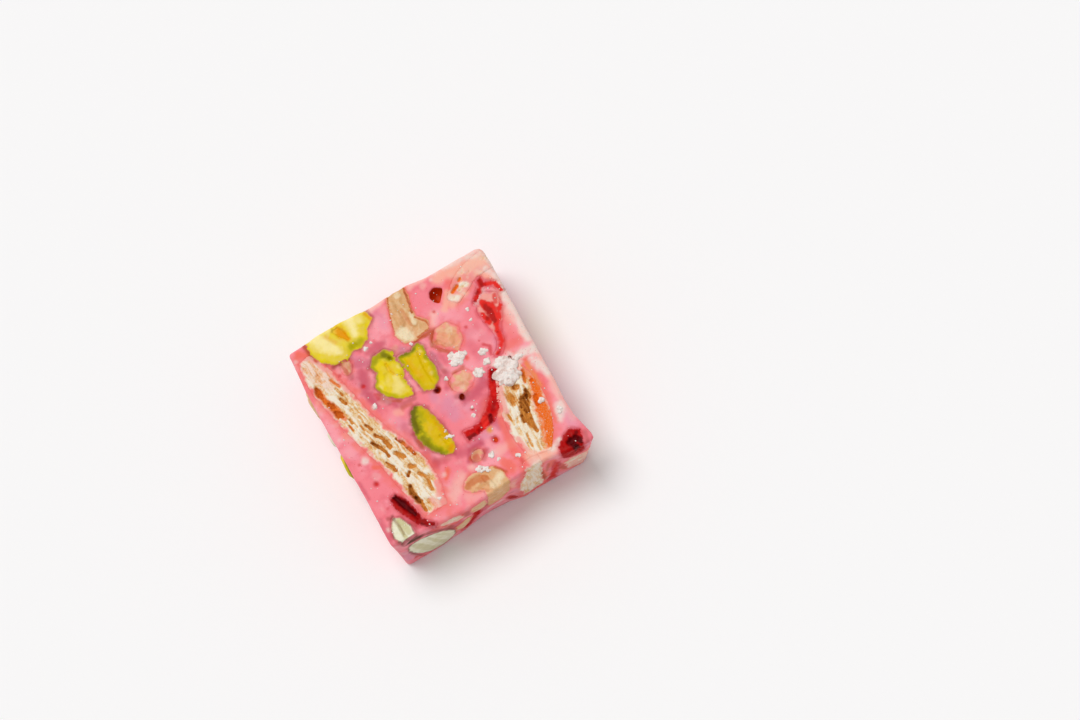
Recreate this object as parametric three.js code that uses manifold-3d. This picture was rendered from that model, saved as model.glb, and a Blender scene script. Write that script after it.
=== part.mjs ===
// A square of strawberry nougat: a pink block set with pistachios, walnuts, almonds, biscuits and
// dried strawberry, cut with a knife so that its fillings show on every face.
// Millimetres, +Z up, the origin under the middle of the face it rests on.

import * as THREE from "three";
import { mergeVertices } from "three/addons/utils/BufferGeometryUtils.js";
import Module from "manifold-3d";

const wasm = await Module();
wasm.setup();

// Driving dimensions of the block
const width = 45;
const depth = 47.2;
const height = 16;
const cornerRadii = { frontRight: 1.6, backRight: 1.1, backLeft: 0.5, frontLeft: 0.7 };
const edgeRadius = 0.45;
const gap = 0.3; // between a filling and the nougat round it
const overcut = 2.2; // how far a filling starts outside its face before the knife trims it

// How far each wall swells out of true, as [place along the wall, at its top, at its foot]
const wallSwell = {
  front: [
    [-24, -0.5, 0.7], [-17, 0, 0.7], [-12, 0.2, 0.4], [-5.4, 0.7, -0.4], [-0.5, 0.3, -1], [3, 0, -0.2],
    [6, -0.1, 0.3], [12.3, -0.3, 0], [15.5, 0.4, 0], [20, 0.8, 0.1], [24, 0.9, 0],
  ],
  right: [
    [-24, 1.8, -2], [-20.5, 0.8, -1.4], [-16.5, -0.5, -1.2], [-8, 0.1, -0.6], [0, 0.1, -0.6],
    [7, 0.3, -0.9], [14, 0.6, -0.3], [24, 0.3, -0.5],
  ],
  back: [
    [-24, -0.1, -0.5], [-11, 0.2, -0.2], [-5, -0.1, -0.6], [5, 0.2, -0.1], [11, -0.5, -0.9],
    [24, -0.3, -0.6],
  ],
  left: [
    [-24, 0.2, 0.4], [-16, 0.3, -0.3], [-9, 0.3, -0.2], [-1, 0.5, -0.5], [7, 0.6, -0.2],
    [13, 0.7, 0], [18.5, 0.3, -0.4], [24, 0.1, -0.2],
  ],
};

// Colours and finishes
const looks = {
  nougat: { color: "#f58f9b", roughness: 0.5 },
  pistachio: { color: "#dcbf34", roughness: 0.45 },
  walnut: { color: "#d7a878", roughness: 0.5 },
  almond: { color: "#dcd4b4", roughness: 0.5 },
  biscuit: { color: "#e6c59c", roughness: 0.85 },
  strawberry: { color: "#a8101a", roughness: 0.4 },
  milk: { color: "#ebdcd2", roughness: 0.95 },
};

// How a filling narrows below the face it shows on, as [share of its depth, share of its size]
const bellies = {
  round: [
    [0.6, 0.92],
    [1, 0.42],
  ],
  shallow: [
    [0.5, 0.86],
    [1, 0.4],
  ],
  slab: [[1, 0.85]],
  through: [[1, 1]],
};

// Each face's own frame: its middle or foot, and the way its u and v run over it
const faces = {
  top: faceFrame([0, 0, height], [1, 0, 0], [0, 1, 0]),
  under: faceFrame([0, 0, 0], [1, 0, 0], [0, -1, 0]),
  front: faceFrame([0, -depth / 2, 0], [1, 0, 0], [0, 0, 1]),
  back: faceFrame([0, depth / 2, 0], [-1, 0, 0], [0, 0, 1]),
  right: faceFrame([width / 2, 0, 0], [0, 1, 0], [0, 0, 1]),
  left: faceFrame([-width / 2, 0, 0], [0, -1, 0], [0, 0, 1]),
};

function faceFrame(origin, u, v) {
  const uAxis = new THREE.Vector3(...u);
  const vAxis = new THREE.Vector3(...v);
  const outward = new THREE.Vector3().crossVectors(uAxis, vAxis);
  return new THREE.Matrix4().makeBasis(uAxis, vAxis, outward).setPosition(...origin);
}

// ---- Outlines, as loops of Vector2 that run anticlockwise ----

// A broken edge: a loop through its corners, given in either direction
function loose(...corners) {
  const loop = corners.map((corner) => new THREE.Vector2(...corner));
  return THREE.ShapeUtils.isClockWise(loop) ? loop.reverse() : loop;
}

// A whole or halved kernel: an oval that may bend and be fuller at one end
function kernel({ at, length, breadth, turn = 0, bend = 0, full = 0, points = 11 }) {
  const turned = THREE.MathUtils.degToRad(turn);
  const loop = [];
  for (let i = 0; i < points; i++) {
    const angle = (i / points) * 2 * Math.PI;
    const along = (Math.cos(angle) * length) / 2;
    const across = (Math.sin(angle) * breadth * (1 + full * Math.cos(angle))) / 2;
    const bowed = across + bend * (0.5 - Math.cos(angle) ** 2);
    const point = new THREE.Vector2(along, bowed).rotateAround(new THREE.Vector2(), turned);
    loop.push(point.add(new THREE.Vector2(...at)));
  }
  return loop;
}

// A slice seen edge on: a band along a spine of [u, v, half its thickness]
function band(steps, ...spine) {
  const curve = new THREE.CatmullRomCurve3(spine.map((knot) => new THREE.Vector3(...knot)));
  const near = [];
  const far = [];
  for (let i = 0; i <= steps; i++) {
    const place = curve.getPoint(i / steps);
    const heading = curve.getTangent(i / steps);
    const side = new THREE.Vector2(-heading.y, heading.x).setLength(place.z);
    near.push(new THREE.Vector2(place.x - side.x, place.y - side.y));
    far.unshift(new THREE.Vector2(place.x + side.x, place.y + side.y));
  }
  return [...near, ...far];
}

// The same loop with every side moved outwards
function grown(loop, amount) {
  return loop.map((point, i) => {
    const before = loop[(i + loop.length - 1) % loop.length];
    const after = loop[(i + 1) % loop.length];
    const heading = after.clone().sub(before).normalize();
    return new THREE.Vector2(point.x + heading.y * amount, point.y - heading.x * amount);
  });
}

// ---- Solids ----

// A closed skin over stacked rings of equally many points, the lowest first
function stack(rings) {
  const count = rings[0].length;
  const index = [];
  for (let level = 0; level + 1 < rings.length; level++) {
    for (let i = 0; i < count; i++) {
      const a = level * count + i;
      const b = level * count + ((i + 1) % count);
      index.push(a, b, b + count, a, b + count, a + count);
    }
  }
  const flat = (ring) => ring.map((p) => new THREE.Vector2(p.x, p.y));
  const roof = (rings.length - 1) * count;
  for (const [a, b, c] of THREE.ShapeUtils.triangulateShape(flat(rings[0]), [])) {
    index.push(a, c, b);
  }
  for (const [a, b, c] of THREE.ShapeUtils.triangulateShape(flat(rings.at(-1)), [])) {
    index.push(roof + a, roof + b, roof + c);
  }
  return new THREE.BufferGeometry().setFromPoints(rings.flat()).setIndex(index);
}

function toSolid(geometry) {
  const merged = mergeVertices(geometry, 1e-4);
  return new wasm.Manifold(
    new wasm.Mesh({
      numProp: 3,
      vertProperties: merged.attributes.position.array,
      triVerts: new Uint32Array(merged.index.array),
    }),
  );
}

function toGeometry(solid) {
  const mesh = solid.getMesh();
  const positions = new THREE.BufferAttribute(new Float32Array(mesh.vertProperties), 3);
  const geometry = new THREE.BufferGeometry().setAttribute("position", positions);
  geometry.setIndex(new THREE.BufferAttribute(new Uint32Array(mesh.triVerts), 1));
  geometry.computeVertexNormals();
  return geometry;
}

// The largest body left by a cut, without the crumbs
function largest(solid) {
  return solid.decompose().sort((a, b) => b.volume() - a.volume())[0];
}

// A wall's swell, eased between the places that name it
function swellOf(wall, along, rise) {
  const knots = wallSwell[wall];
  let k = 1;
  while (k < knots.length - 1 && knots[k][0] < along) k++;
  const [from, topFrom, footFrom] = knots[k - 1];
  const [to, topTo, footTo] = knots[k];
  const share = THREE.MathUtils.smoothstep(along, from, to);
  const top = THREE.MathUtils.lerp(topFrom, topTo, share);
  const foot = THREE.MathUtils.lerp(footFrom, footTo, share);
  return THREE.MathUtils.lerp(foot, top, THREE.MathUtils.smoothstep(rise, 0, 1));
}

// A level ring round the block's four uneven walls
function blockRing(z, inset) {
  const sideSteps = 11;
  const halfWidth = width / 2;
  const halfDepth = depth / 2;
  const square = new THREE.Shape();
  const corners = [
    [cornerRadii.frontRight, 1, -1, -0.5],
    [cornerRadii.backRight, 1, 1, 0],
    [cornerRadii.backLeft, -1, 1, 0.5],
    [cornerRadii.frontLeft, -1, -1, 1],
  ];
  for (const [r, sideX, sideY, turn] of corners) {
    const start = turn * Math.PI;
    square.absarc(sideX * (halfWidth - r), sideY * (halfDepth - r), r, start, start + Math.PI / 2);
  }
  square.closePath();
  const loop = [];
  for (const curve of square.curves) {
    const steps = curve.isLineCurve ? sideSteps : 2;
    loop.push(...curve.getPoints(steps).slice(0, -1));
  }
  const rise = z / height;
  const roundest = Math.max(...Object.values(cornerRadii));
  return loop.map(({ x, y }) => {
    const towardsX = THREE.MathUtils.smoothstep(Math.abs(x), halfWidth - 4, halfWidth - roundest);
    const towardsY = THREE.MathUtils.smoothstep(Math.abs(y), halfDepth - 4, halfDepth - roundest);
    const outX = swellOf(x > 0 ? "right" : "left", y, rise) - inset;
    const outY = swellOf(y > 0 ? "back" : "front", x, rise) - inset;
    return new THREE.Vector3(
      x + Math.sign(x) * towardsX * outX,
      y + Math.sign(y) * towardsY * outY,
      z,
    );
  });
}

function makeBlock() {
  const levels = [
    [0, edgeRadius],
    [edgeRadius, 0],
    [height * 0.5, 0],
    [height - edgeRadius, 0],
    [height, edgeRadius],
  ];
  return toSolid(stack(levels.map(([z, inset]) => blockRing(z, inset))));
}

// A filling, or with room round it the pocket that holds it
function sink({ face, loop, deep, belly = "round", lean = [0, 0], proud = 0 }, room = 0) {
  const middle = loop.reduce((sum, p) => sum.add(p), new THREE.Vector2());
  middle.divideScalar(loop.length);
  const ringAt = (out, size) => {
    const shrunk = loop.map((p) => p.clone().sub(middle).multiplyScalar(size).add(middle));
    const drift = Math.max(0, -out / deep);
    const place = (p) => new THREE.Vector3(p.x + lean[0] * drift, p.y + lean[1] * drift, out);
    return grown(shrunk, room).map(place);
  };
  const above = proud
    ? [
        [proud * 0.6, 0.86],
        [proud + room, 0.5],
      ]
    : [[overcut, 1]];
  const below = bellies[belly].map(([share, size]) => [-deep * share - room, size]);
  const rings = [...below.reverse(), ...above].map(([out, size]) => ringAt(out, size));
  return toSolid(stack(rings).applyMatrix4(faces[face]));
}

// ---- Fillings, each on the face it shows on; where two meet, the earlier one is whole ----

const through = height + overcut;

const biscuits = {
  biscuit_left: {
    face: "top",
    loop: band(
      9, [-20.4, 20.4, 1.1], [-19.5, 15.5, 2.6], [-18.2, 9.5, 2.8], [-16.2, 1, 2.8],
      [-13.4, -6.5, 3.3], [-11.5, -14.5, 3.6], [-11.4, -20.8, 2.3],
    ),
    deep: through,
    belly: "through",
    lean: [1.2, 0.4],
  },
  biscuit_right: {
    face: "top",
    loop: band(
      6, [15.6, -2.9, 2.2], [15.3, -6.6, 3.7], [14.6, -11.6, 4.5], [13.9, -16.2, 4.1], [12.9, -21.4, 2.2],
    ),
    deep: through,
    belly: "through",
    lean: [-1.5, 1],
  },
  biscuit_corner: {
    face: "top",
    loop: band(6, [12.4, 15.7, 1.1], [15.4, 18, 1.7], [18.8, 19.7, 1.6], [25, 20.2, 2.2]),
    deep: 9,
    belly: "slab",
  },
  biscuit_front: {
    face: "front",
    loop: loose(
      [5.2, 1.3], [5.2, 6], [6.2, 11], [8.2, 15.4], [9.2, 18.2], [12.4, 18.2], [11.3, 12], [10.4, 6],
      [10.1, 1.6],
    ),
    deep: 1.9,
    belly: "slab",
  },
  biscuit_lip: {
    face: "front",
    loop: loose([15.7, 8.2], [17.4, 10], [20, 8.8], [25, 9.2], [25.5, 1.4], [19.5, 1], [16.1, 2.4]),
    deep: 7,
  },
  biscuit_crumb: {
    face: "front",
    loop: loose([-12.8, 14.4], [-10, 15.2], [-7.2, 14.6], [-7, 12.2], [-8.8, 10.6], [-10.9, 12.2]),
    deep: 2.5,
    belly: "shallow",
  },
  biscuit_back: {
    face: "back",
    loop: band(5, [-17.5, 4.2, 1.2], [-14.5, 6.5, 2.6], [-10.5, 8.6, 2.8], [-7.2, 9.6, 1.4]),
    deep: 7,
    belly: "slab",
  },
};

const pistachios = {
  pistachio_back: {
    face: "top",
    loop: loose(
      [-18.7, 25.5], [-18.5, 21], [-17.4, 18.4], [-15.2, 16.5], [-12.4, 16.1], [-10.4, 17.3],
      [-8.8, 16.8], [-6.6, 18], [-5.8, 19.8], [-3.7, 21.3], [-4.8, 25.5],
    ),
    deep: 5.5,
  },
  pistachio_middle_left: {
    face: "top",
    loop: loose(
      [-5, 14.1], [-7.7, 13.9], [-9.2, 12.2], [-8.6, 10.3], [-10.3, 7.7], [-9.4, 5.4], [-6.6, 3],
      [-4, 2.4], [-3.9, 3.8], [-4.5, 6.6], [-3.2, 8.4], [-4.1, 11], [-3.8, 13],
    ),
    deep: 5,
    lean: [0.8, 0],
  },
  pistachio_middle_right: {
    face: "top",
    loop: loose(
      [-3.1, 11.5], [-1.4, 11.1], [0.1, 10.8], [1.9, 12], [2.8, 10.7], [2.3, 8.4], [2.8, 5],
      [2.1, 2.6], [0.2, 1.4], [-1.4, 2], [-1.8, 4.6], [-2.5, 8.2],
    ),
    deep: 4.5,
    lean: [-0.6, 0],
  },
  pistachio_oblong: {
    face: "top",
    loop: kernel({ at: [-4.3, -6.1], length: 12.9, breadth: 5.3, turn: -79, bend: -0.9, points: 14 }),
    deep: 4.2,
  },
  pistachio_side: {
    face: "left",
    loop: kernel({ at: [1.3, 8.4], length: 9.5, breadth: 5, turn: 24, full: 0.12 }),
    deep: 4,
    proud: 1.2,
  },
  pistachio_right: {
    face: "right",
    loop: kernel({ at: [7.5, 6.4], length: 13, breadth: 6.6, turn: 14, bend: 0.8 }),
    deep: 4.5,
  },
  pistachio_foot: {
    face: "under",
    loop: kernel({ at: [0, 20.2], length: 8.4, breadth: 4.4, turn: 4 }),
    deep: 3,
  },
  pistachio_under: {
    face: "under",
    loop: loose(
      [-4.6, -18], [-1.5, -18.6], [1.4, -17.2], [4.8, -17.4], [6.6, -15.4], [5, -12.4],
      [1.8, -12.6], [-0.6, -11.6], [-4, -12.4], [-5.6, -15],
    ),
    deep: 4.5,
  },
  pistachio_under_half: {
    face: "under",
    loop: kernel({ at: [2.2, 6.2], length: 12, breadth: 6.6, turn: 62, bend: 0.7, full: 0.1 }),
    deep: 4.5,
  },
};

const walnuts = {
  walnut_top: {
    face: "top",
    loop: loose(
      [1.2, 25.5], [0.2, 21.4], [-1.3, 15.4], [-0.5, 12.9], [1.6, 12.4], [5.5, 13], [5.9, 14.6],
      [4.1, 16.8], [4.1, 19], [4.8, 22], [4.9, 25.5],
    ),
    deep: 5,
  },
  walnut_middle: {
    face: "top",
    loop: loose(
      [4.7, 10.2], [6.3, 12.2], [9, 12.4], [10.6, 10.3], [10.2, 7.4], [8.6, 6.1], [6.2, 7.7],
    ),
    deep: 3.6,
  },
  walnut_small: {
    face: "top",
    loop: loose([3.5, 0.8], [5.2, 1.9], [7.8, 1.5], [8.9, -0.1], [7.4, -1.8], [5, -2.2], [3.8, -1]),
    deep: 3,
  },
  walnut_front: {
    face: "top",
    loop: loose(
      [-3.9, -20.2], [-3.2, -18.9], [-1.2, -18.2], [1, -18.9], [3.3, -18.9], [4.5, -20.5],
      [5, -25.5], [-0.3, -25.5], [-0.4, -22.2], [-2.8, -21.2],
    ),
    deep: 9,
    lean: [-1.8, -0.6],
  },
  walnut_speck_left: {
    face: "top",
    loop: kernel({ at: [-13.3, 14.7], length: 3.4, breadth: 2.2, turn: 76, points: 8 }),
    deep: 2,
    belly: "shallow",
  },
  walnut_speck_front: {
    face: "top",
    loop: kernel({ at: [1.4, -15.4], length: 2.9, breadth: 1.9, turn: 20, points: 8 }),
    deep: 2,
    belly: "shallow",
  },
  walnut_band: {
    face: "front",
    loop: loose([-5.6, 12.6], [-4.9, 15.1], [-2, 15], [-1.9, 10], [-3.4, 9.4], [-5, 10.4]),
    deep: 4,
  },
  walnut_sliver: {
    face: "front",
    loop: loose([-10, 6.4], [-8.4, 7], [-6.3, 9.2], [-6, 7.8], [-7, 5.4], [-9.4, 2.8], [-10.2, 4]),
    deep: 3,
  },
  walnut_left_back: {
    face: "left",
    loop: kernel({ at: [-12.8, 9.2], length: 9, breadth: 4.6, turn: -18, bend: 1 }),
    deep: 4,
    proud: 1.4,
  },
  walnut_left: {
    face: "left",
    loop: loose(
      [11.5, 12.4], [15.2, 13.4], [19.4, 11.6], [19, 8.8], [16, 9.4], [13.2, 7.2], [10.9, 9],
    ),
    deep: 4,
  },
  walnut_back: {
    face: "back",
    loop: kernel({ at: [-5.4, 10.2], length: 8.4, breadth: 4.8, turn: 8 }),
    deep: 3.2,
    proud: 1.1,
  },
  walnut_right: {
    face: "right",
    loop: loose(
      [-9.4, 9.6], [-6.4, 11.9], [-1, 11], [1.6, 12.6], [3, 10.4], [-0.4, 8.2], [-5.4, 8.6],
      [-8.6, 7],
    ),
    deep: 4,
  },
  walnut_under: {
    face: "under",
    loop: loose(
      [6.4, -7.4], [8.8, -4.6], [8.2, -0.2], [10.9, 0.8], [12.2, -2.8], [12, -7.6], [14, -10],
      [11.6, -11.4],
    ),
    deep: 4.5,
  },
  walnut_under_bent: {
    face: "under",
    loop: kernel({ at: [-6, 2.6], length: 12.4, breadth: 4.6, turn: 64, bend: -2.2 }),
    deep: 4,
  },
};

const almonds = {
  almond_front: {
    face: "front",
    loop: kernel({ at: [-15.7, 6.8], length: 12.8, breadth: 8.3, turn: -58, full: 0.1, points: 14 }),
    deep: 8,
  },
  almond_top: {
    face: "top",
    loop: loose(
      [-19.8, -17.8], [-21, -19.6], [-21.4, -22], [-20.8, -23.4], [-17, -23.2], [-17.3, -21.5],
      [-18.5, -18.6],
    ),
    deep: 2.6,
    belly: "slab",
  },
  almond_side: {
    face: "left",
    loop: kernel({ at: [-4.2, 11], length: 5, breadth: 3.4, turn: -30, points: 10 }),
    deep: 3,
    proud: 1.2,
  },
  almond_back: {
    face: "back",
    loop: kernel({ at: [12, 5], length: 13, breadth: 7.4, turn: 12, full: 0.16, points: 14 }),
    deep: 6,
  },
  almond_under: {
    face: "under",
    loop: kernel({ at: [14.2, -17], length: 12, breadth: 8, turn: 28, full: 0.2, points: 14 }),
    deep: 5,
  },
};

const strawberries = {
  strawberry_slice: {
    face: "top",
    loop: band(
      9, [19.9, 13.5, 1.3], [18.6, 11.4, 2.5], [17.9, 8.6, 1.9], [17.4, 5.8, 0.7], [17, 3.2, 0.5],
      [16, 1.5, 0.5], [14.6, 0.6, 0.4],
    ),
    deep: 7,
    belly: "slab",
  },
  strawberry_ribbon: {
    face: "top",
    loop: loose(
      [18.8, 17.6], [18.6, 16], [17.1, 14.6], [15.7, 13.1], [16.4, 12.6], [17.9, 14.2], [19.2, 15.2],
      [21.3, 14.5], [22.2, 12], [22.8, 12.2], [22.4, 14.7], [19.9, 16], [19.6, 17.4],
    ),
    deep: 6,
    belly: "slab",
  },
  strawberry_smear: {
    face: "top",
    loop: band(
      8, [12.8, -0.6, 0.5], [11.7, -3.1, 0.7], [10.3, -6.2, 0.7], [7.5, -9.6, 1.2],
      [4.4, -10.7, 0.6], [0.9, -10.9, 1.2],
    ),
    deep: 6,
    belly: "slab",
  },
  strawberry_lip: {
    face: "top",
    loop: loose(
      [15.5, -25.5], [16.6, -22.4], [18.2, -21], [20, -20], [22, -21.3], [21.4, -23], [20.8, -25.5],
    ),
    deep: 5.2,
  },
  strawberry_slash: {
    face: "top",
    loop: band(
      7, [-17.8, -13.9, 0.6], [-17, -16.4, 1.3], [-15.9, -19.2, 0.9], [-15, -21.8, 0.5],
      [-12.6, -23.8, 0.3],
    ),
    deep: 3.4,
    belly: "slab",
  },
  strawberry_seam: {
    face: "front",
    loop: band(5, [14.8, 11.8, 0.3], [14, 9, 0.5], [13.1, 5.2, 0.6], [11.8, 1.4, 0.9]),
    deep: 5,
    belly: "slab",
  },
  strawberry_front: {
    face: "front",
    loop: band(5, [-4.5, 10, 0.8], [-4.8, 7, 0.9], [-6.2, 4, 0.6], [-9, 1.7, 0.5]),
    deep: 4,
    belly: "slab",
  },
  strawberry_foot: {
    face: "front",
    loop: band(4, [2.2, 5.6, 0.3], [2.8, 3.6, 0.5], [3.5, 1.6, 0.6]),
    deep: 4,
    belly: "slab",
  },
  strawberry_left: {
    face: "left",
    loop: band(5, [6.4, 3, 0.8], [9.2, 4.6, 1.3], [12.4, 4.4, 1.2], [15.8, 5.4, 0.7]),
    deep: 5,
    belly: "slab",
  },
  strawberry_right: {
    face: "right",
    loop: loose([-15, 4], [-13.2, 8.6], [-10.2, 6.8], [-11, 4.6], [-12, 2]),
    deep: 4,
  },
  strawberry_back: {
    face: "back",
    loop: band(6, [-1.4, 2.6, 0.7], [0.8, 4.4, 1.5], [2.6, 8, 1.8], [2.2, 12.2, 0.7]),
    deep: 5,
    belly: "slab",
  },
  strawberry_under: {
    face: "under",
    loop: band(6, [-2.4, 13.2, 0.7], [1.6, 13.6, 1.6], [5.4, 15.4, 1.8], [7.6, 18.6, 0.7]),
    deep: 4,
    belly: "slab",
  },
  strawberry_under_slice: {
    face: "under",
    loop: loose(
      [-10.6, -13.4], [-8.4, -16.6], [-8.6, -20.2], [-11.6, -21.2], [-14.6, -18.4], [-13.6, -14.8],
    ),
    deep: 4,
  },
};

// Bubbles left open by the knife
const bubbles = {
  bubble_large: {
    face: "top",
    loop: loose(
      [8.4, 18.7], [8.9, 20], [10.2, 20.5], [11.9, 19.4], [11.4, 18.4], [9.8, 16.6], [8.9, 17.5],
    ),
    deep: 2.8,
  },
  bubble_middle: {
    face: "top",
    loop: kernel({ at: [4.4, -2.9], length: 1.6, breadth: 1.2, turn: 60, points: 6 }),
    deep: 1.4,
  },
  bubble_low: {
    face: "top",
    loop: kernel({ at: [6.1, -14.3], length: 2.1, breadth: 1.6, turn: 100, points: 6 }),
    deep: 0.6,
    belly: "shallow",
  },
};

const clump = {
  milk_clump: {
    face: "top",
    loop: loose(
      [12.2, -3.6], [13.4, -0.6], [15.4, -0.9], [17.2, -0.2], [17.6, -2.6], [16.4, -5.2],
      [14, -5.8],
    ),
    deep: 0.8,
    belly: "shallow",
    proud: 1.2,
  },
};

// ---- Assembly ----

const groups = [
  [clump, looks.milk],
  [biscuits, looks.biscuit],
  [pistachios, looks.pistachio],
  [walnuts, looks.walnut],
  [almonds, looks.almond],
  [strawberries, looks.strawberry],
];

function meshOf(name, solid, look) {
  const mesh = new THREE.Mesh(
    toGeometry(solid),
    new THREE.MeshStandardMaterial({ ...look, metalness: 0 }),
  );
  mesh.name = name;
  return mesh;
}

function makeSweet() {
  const block = makeBlock();
  const pockets = [];
  const sweet = new THREE.Group();
  for (const [fillings, look] of groups) {
    for (const [name, filling] of Object.entries(fillings)) {
      let solid = sink(filling);
      if (!filling.proud) solid = solid.intersect(block);
      for (const pocket of pockets) solid = solid.subtract(pocket);
      sweet.add(meshOf(name, largest(solid), look));
      pockets.push(sink(filling, gap));
    }
  }
  for (const bubble of Object.values(bubbles)) pockets.push(sink(bubble));
  const nougat = block.subtract(wasm.Manifold.union(pockets));
  sweet.add(meshOf("nougat", largest(nougat), looks.nougat));
  const box = new THREE.Box3().setFromObject(sweet);
  const middle = box.getCenter(new THREE.Vector3());
  sweet.position.set(-middle.x, -middle.y, 0);
  return sweet;
}

export default makeSweet();
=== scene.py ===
import itertools
import math

import bmesh
import bpy
import numpy as np
from mathutils import Matrix, Vector
from mathutils.bvhtree import BVHTree


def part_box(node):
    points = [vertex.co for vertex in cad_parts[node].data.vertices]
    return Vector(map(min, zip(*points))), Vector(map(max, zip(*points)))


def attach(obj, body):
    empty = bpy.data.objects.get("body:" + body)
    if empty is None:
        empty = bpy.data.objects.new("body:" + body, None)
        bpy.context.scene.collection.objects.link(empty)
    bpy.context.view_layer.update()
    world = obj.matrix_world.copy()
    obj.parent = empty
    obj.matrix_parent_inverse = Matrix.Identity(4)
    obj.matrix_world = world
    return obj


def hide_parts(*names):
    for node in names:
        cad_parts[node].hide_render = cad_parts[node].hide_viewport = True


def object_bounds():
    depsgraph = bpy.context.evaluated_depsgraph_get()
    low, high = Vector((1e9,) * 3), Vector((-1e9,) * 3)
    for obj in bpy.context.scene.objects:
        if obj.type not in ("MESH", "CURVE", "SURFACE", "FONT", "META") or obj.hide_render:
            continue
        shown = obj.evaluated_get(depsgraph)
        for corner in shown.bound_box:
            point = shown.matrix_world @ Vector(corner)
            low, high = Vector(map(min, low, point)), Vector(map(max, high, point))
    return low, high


# A square of strawberry nougat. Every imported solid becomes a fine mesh; the fillings are pressed
# against their pockets, roughened and coloured. Lengths are in millimetres until a mesh is written.

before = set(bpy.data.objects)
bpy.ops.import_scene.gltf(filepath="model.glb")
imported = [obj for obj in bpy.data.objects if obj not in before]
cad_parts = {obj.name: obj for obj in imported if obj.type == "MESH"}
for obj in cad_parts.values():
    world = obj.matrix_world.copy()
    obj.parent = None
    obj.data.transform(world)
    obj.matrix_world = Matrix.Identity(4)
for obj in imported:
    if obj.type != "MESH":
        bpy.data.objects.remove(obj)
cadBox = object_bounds()
mm = 0.001
blockTop = 16.0
blockMiddle = np.array([0.063, -0.139, 0.0])  # the block's own middle, seen from the frame's origin

fineness = {"nougat": 0.26, "biscuit": 0.135, "filling": 0.17, "powder": 0.12}


def readPoints(mesh):
    flat = np.empty(len(mesh.vertices) * 3)
    mesh.vertices.foreach_get("co", flat)
    return flat.reshape(-1, 3) / mm


def readTriangles(mesh):
    mesh.calc_loop_triangles()
    flat = np.empty(len(mesh.loop_triangles) * 3, int)
    mesh.loop_triangles.foreach_get("vertices", flat)
    return flat.reshape(-1, 3)


shells = {name: (readPoints(node.data), readTriangles(node.data)) for name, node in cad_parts.items()}
families = {}
for nodeName in sorted(shells):
    families.setdefault(nodeName.split("_")[0], []).append(nodeName)


def treeOf(names):
    points, faces, start = [], [], 0
    for name in names:
        points.append(shells[name][0])
        faces.append(shells[name][1] + start)
        start += len(shells[name][0])
    return BVHTree.FromPolygons(np.vstack(points).tolist(), np.vstack(faces).tolist())


compass = np.random.default_rng(5).normal(size=(256, 3))
compass /= np.linalg.norm(compass, axis=1)[:, None]


def ripple(points, size, seed=0):
    # smooth noise from about -1 to 1 that turns over every size millimetres
    place = np.asarray(points, float) / size + 31.7 * seed
    cell = np.floor(place).astype(np.int64)
    part = place - cell
    ease = part ** 3 * (part * (part * 6 - 15) + 10)
    total = np.zeros(len(place))
    for corner in itertools.product((0, 1), repeat=3):
        spot = cell + corner
        mixed = spot[:, 0] * 73856093 ^ spot[:, 1] * 19349663 ^ spot[:, 2] * 83492791
        heading = compass[(mixed ^ (mixed >> 9)) & 255]
        share = np.prod(np.where(corner, ease, 1 - ease), axis=1)
        total += share * ((part - corner) * heading).sum(1)
    return total * 1.7


def rough(points, size, layers=3, seed=0):
    return sum(ripple(points, size / 2 ** k, seed + k) / 2 ** k for k in range(layers))


def smoothStep(low, high, values):
    share = np.clip((np.asarray(values, float) - low) / (high - low), 0, 1)
    return share * share * (3 - 2 * share)


def onBlock(x, y, z=blockTop):
    return blockMiddle + (x, y, z)


def away(points, knots, axes=(0, 1)):
    # distance from a line through knots of (place, place, half width), counted in half widths
    line = np.array(knots if len(knots) > 1 else knots * 2, float)
    line[:, :2] += blockMiddle[list(axes)]
    flat = points[:, axes]
    nearest = np.full(len(points), 99.0)
    for start, end in zip(line, line[1:]):
        run = end[:2] - start[:2]
        part = np.clip(((flat - start[:2]) @ run) / max(run @ run, 1e-9), 0, 1)
        gap = np.linalg.norm(flat - start[:2] - part[:, None] * run, axis=1)
        nearest = np.minimum(nearest, gap / (start[2] + (end[2] - start[2]) * part))
    return nearest


def painted(points, marks, soft=0.5, wobble=0.25, grain=1.1, seed=40, axes=(0, 1)):
    # marks laid over one another, each a strength and the knots of a line; the strongest shows
    mask = np.zeros(len(points))
    uneven = wobble * rough(points, grain, 2, seed)
    for strength, *knots in marks:
        inside = smoothStep(1 + soft * 0.6, 1 - soft, away(points, knots, axes) + uneven)
        mask = np.maximum(mask, strength * inside)
    return mask


pressIn = 0.16  # how far a filling's hidden side reaches into the nougat
pocketGap = 0.3  # between a filling and its pocket
widestGap = 0.75  # a face with nothing nearer than this is in the open
rimWidth = 1.6  # how much of a cut face is drawn along with its rim
thinFrom = 0.2  # a piece with a smaller share of hidden points keeps all its faces
hiddenKept = 0.12  # the share of its hidden faces that any other piece keeps


def remesh(mesh, name, voxel):
    loose = bpy.data.objects.new(name, mesh)
    bpy.context.scene.collection.objects.link(loose)
    even = loose.modifiers.new("even", "REMESH")
    even.mode = "VOXEL"
    even.voxel_size = voxel * mm
    return bake(loose)


def bake(piece):
    # applies the piece's modifiers
    done = piece.evaluated_get(bpy.context.evaluated_depsgraph_get())
    mesh = bpy.data.meshes.new_from_object(done)
    piece.modifiers.clear()
    piece.data = mesh
    return piece


def pieceName(node):
    first, *rest = node.split("_")
    return first + "".join(word.capitalize() for word in rest) + "Skin"


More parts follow.
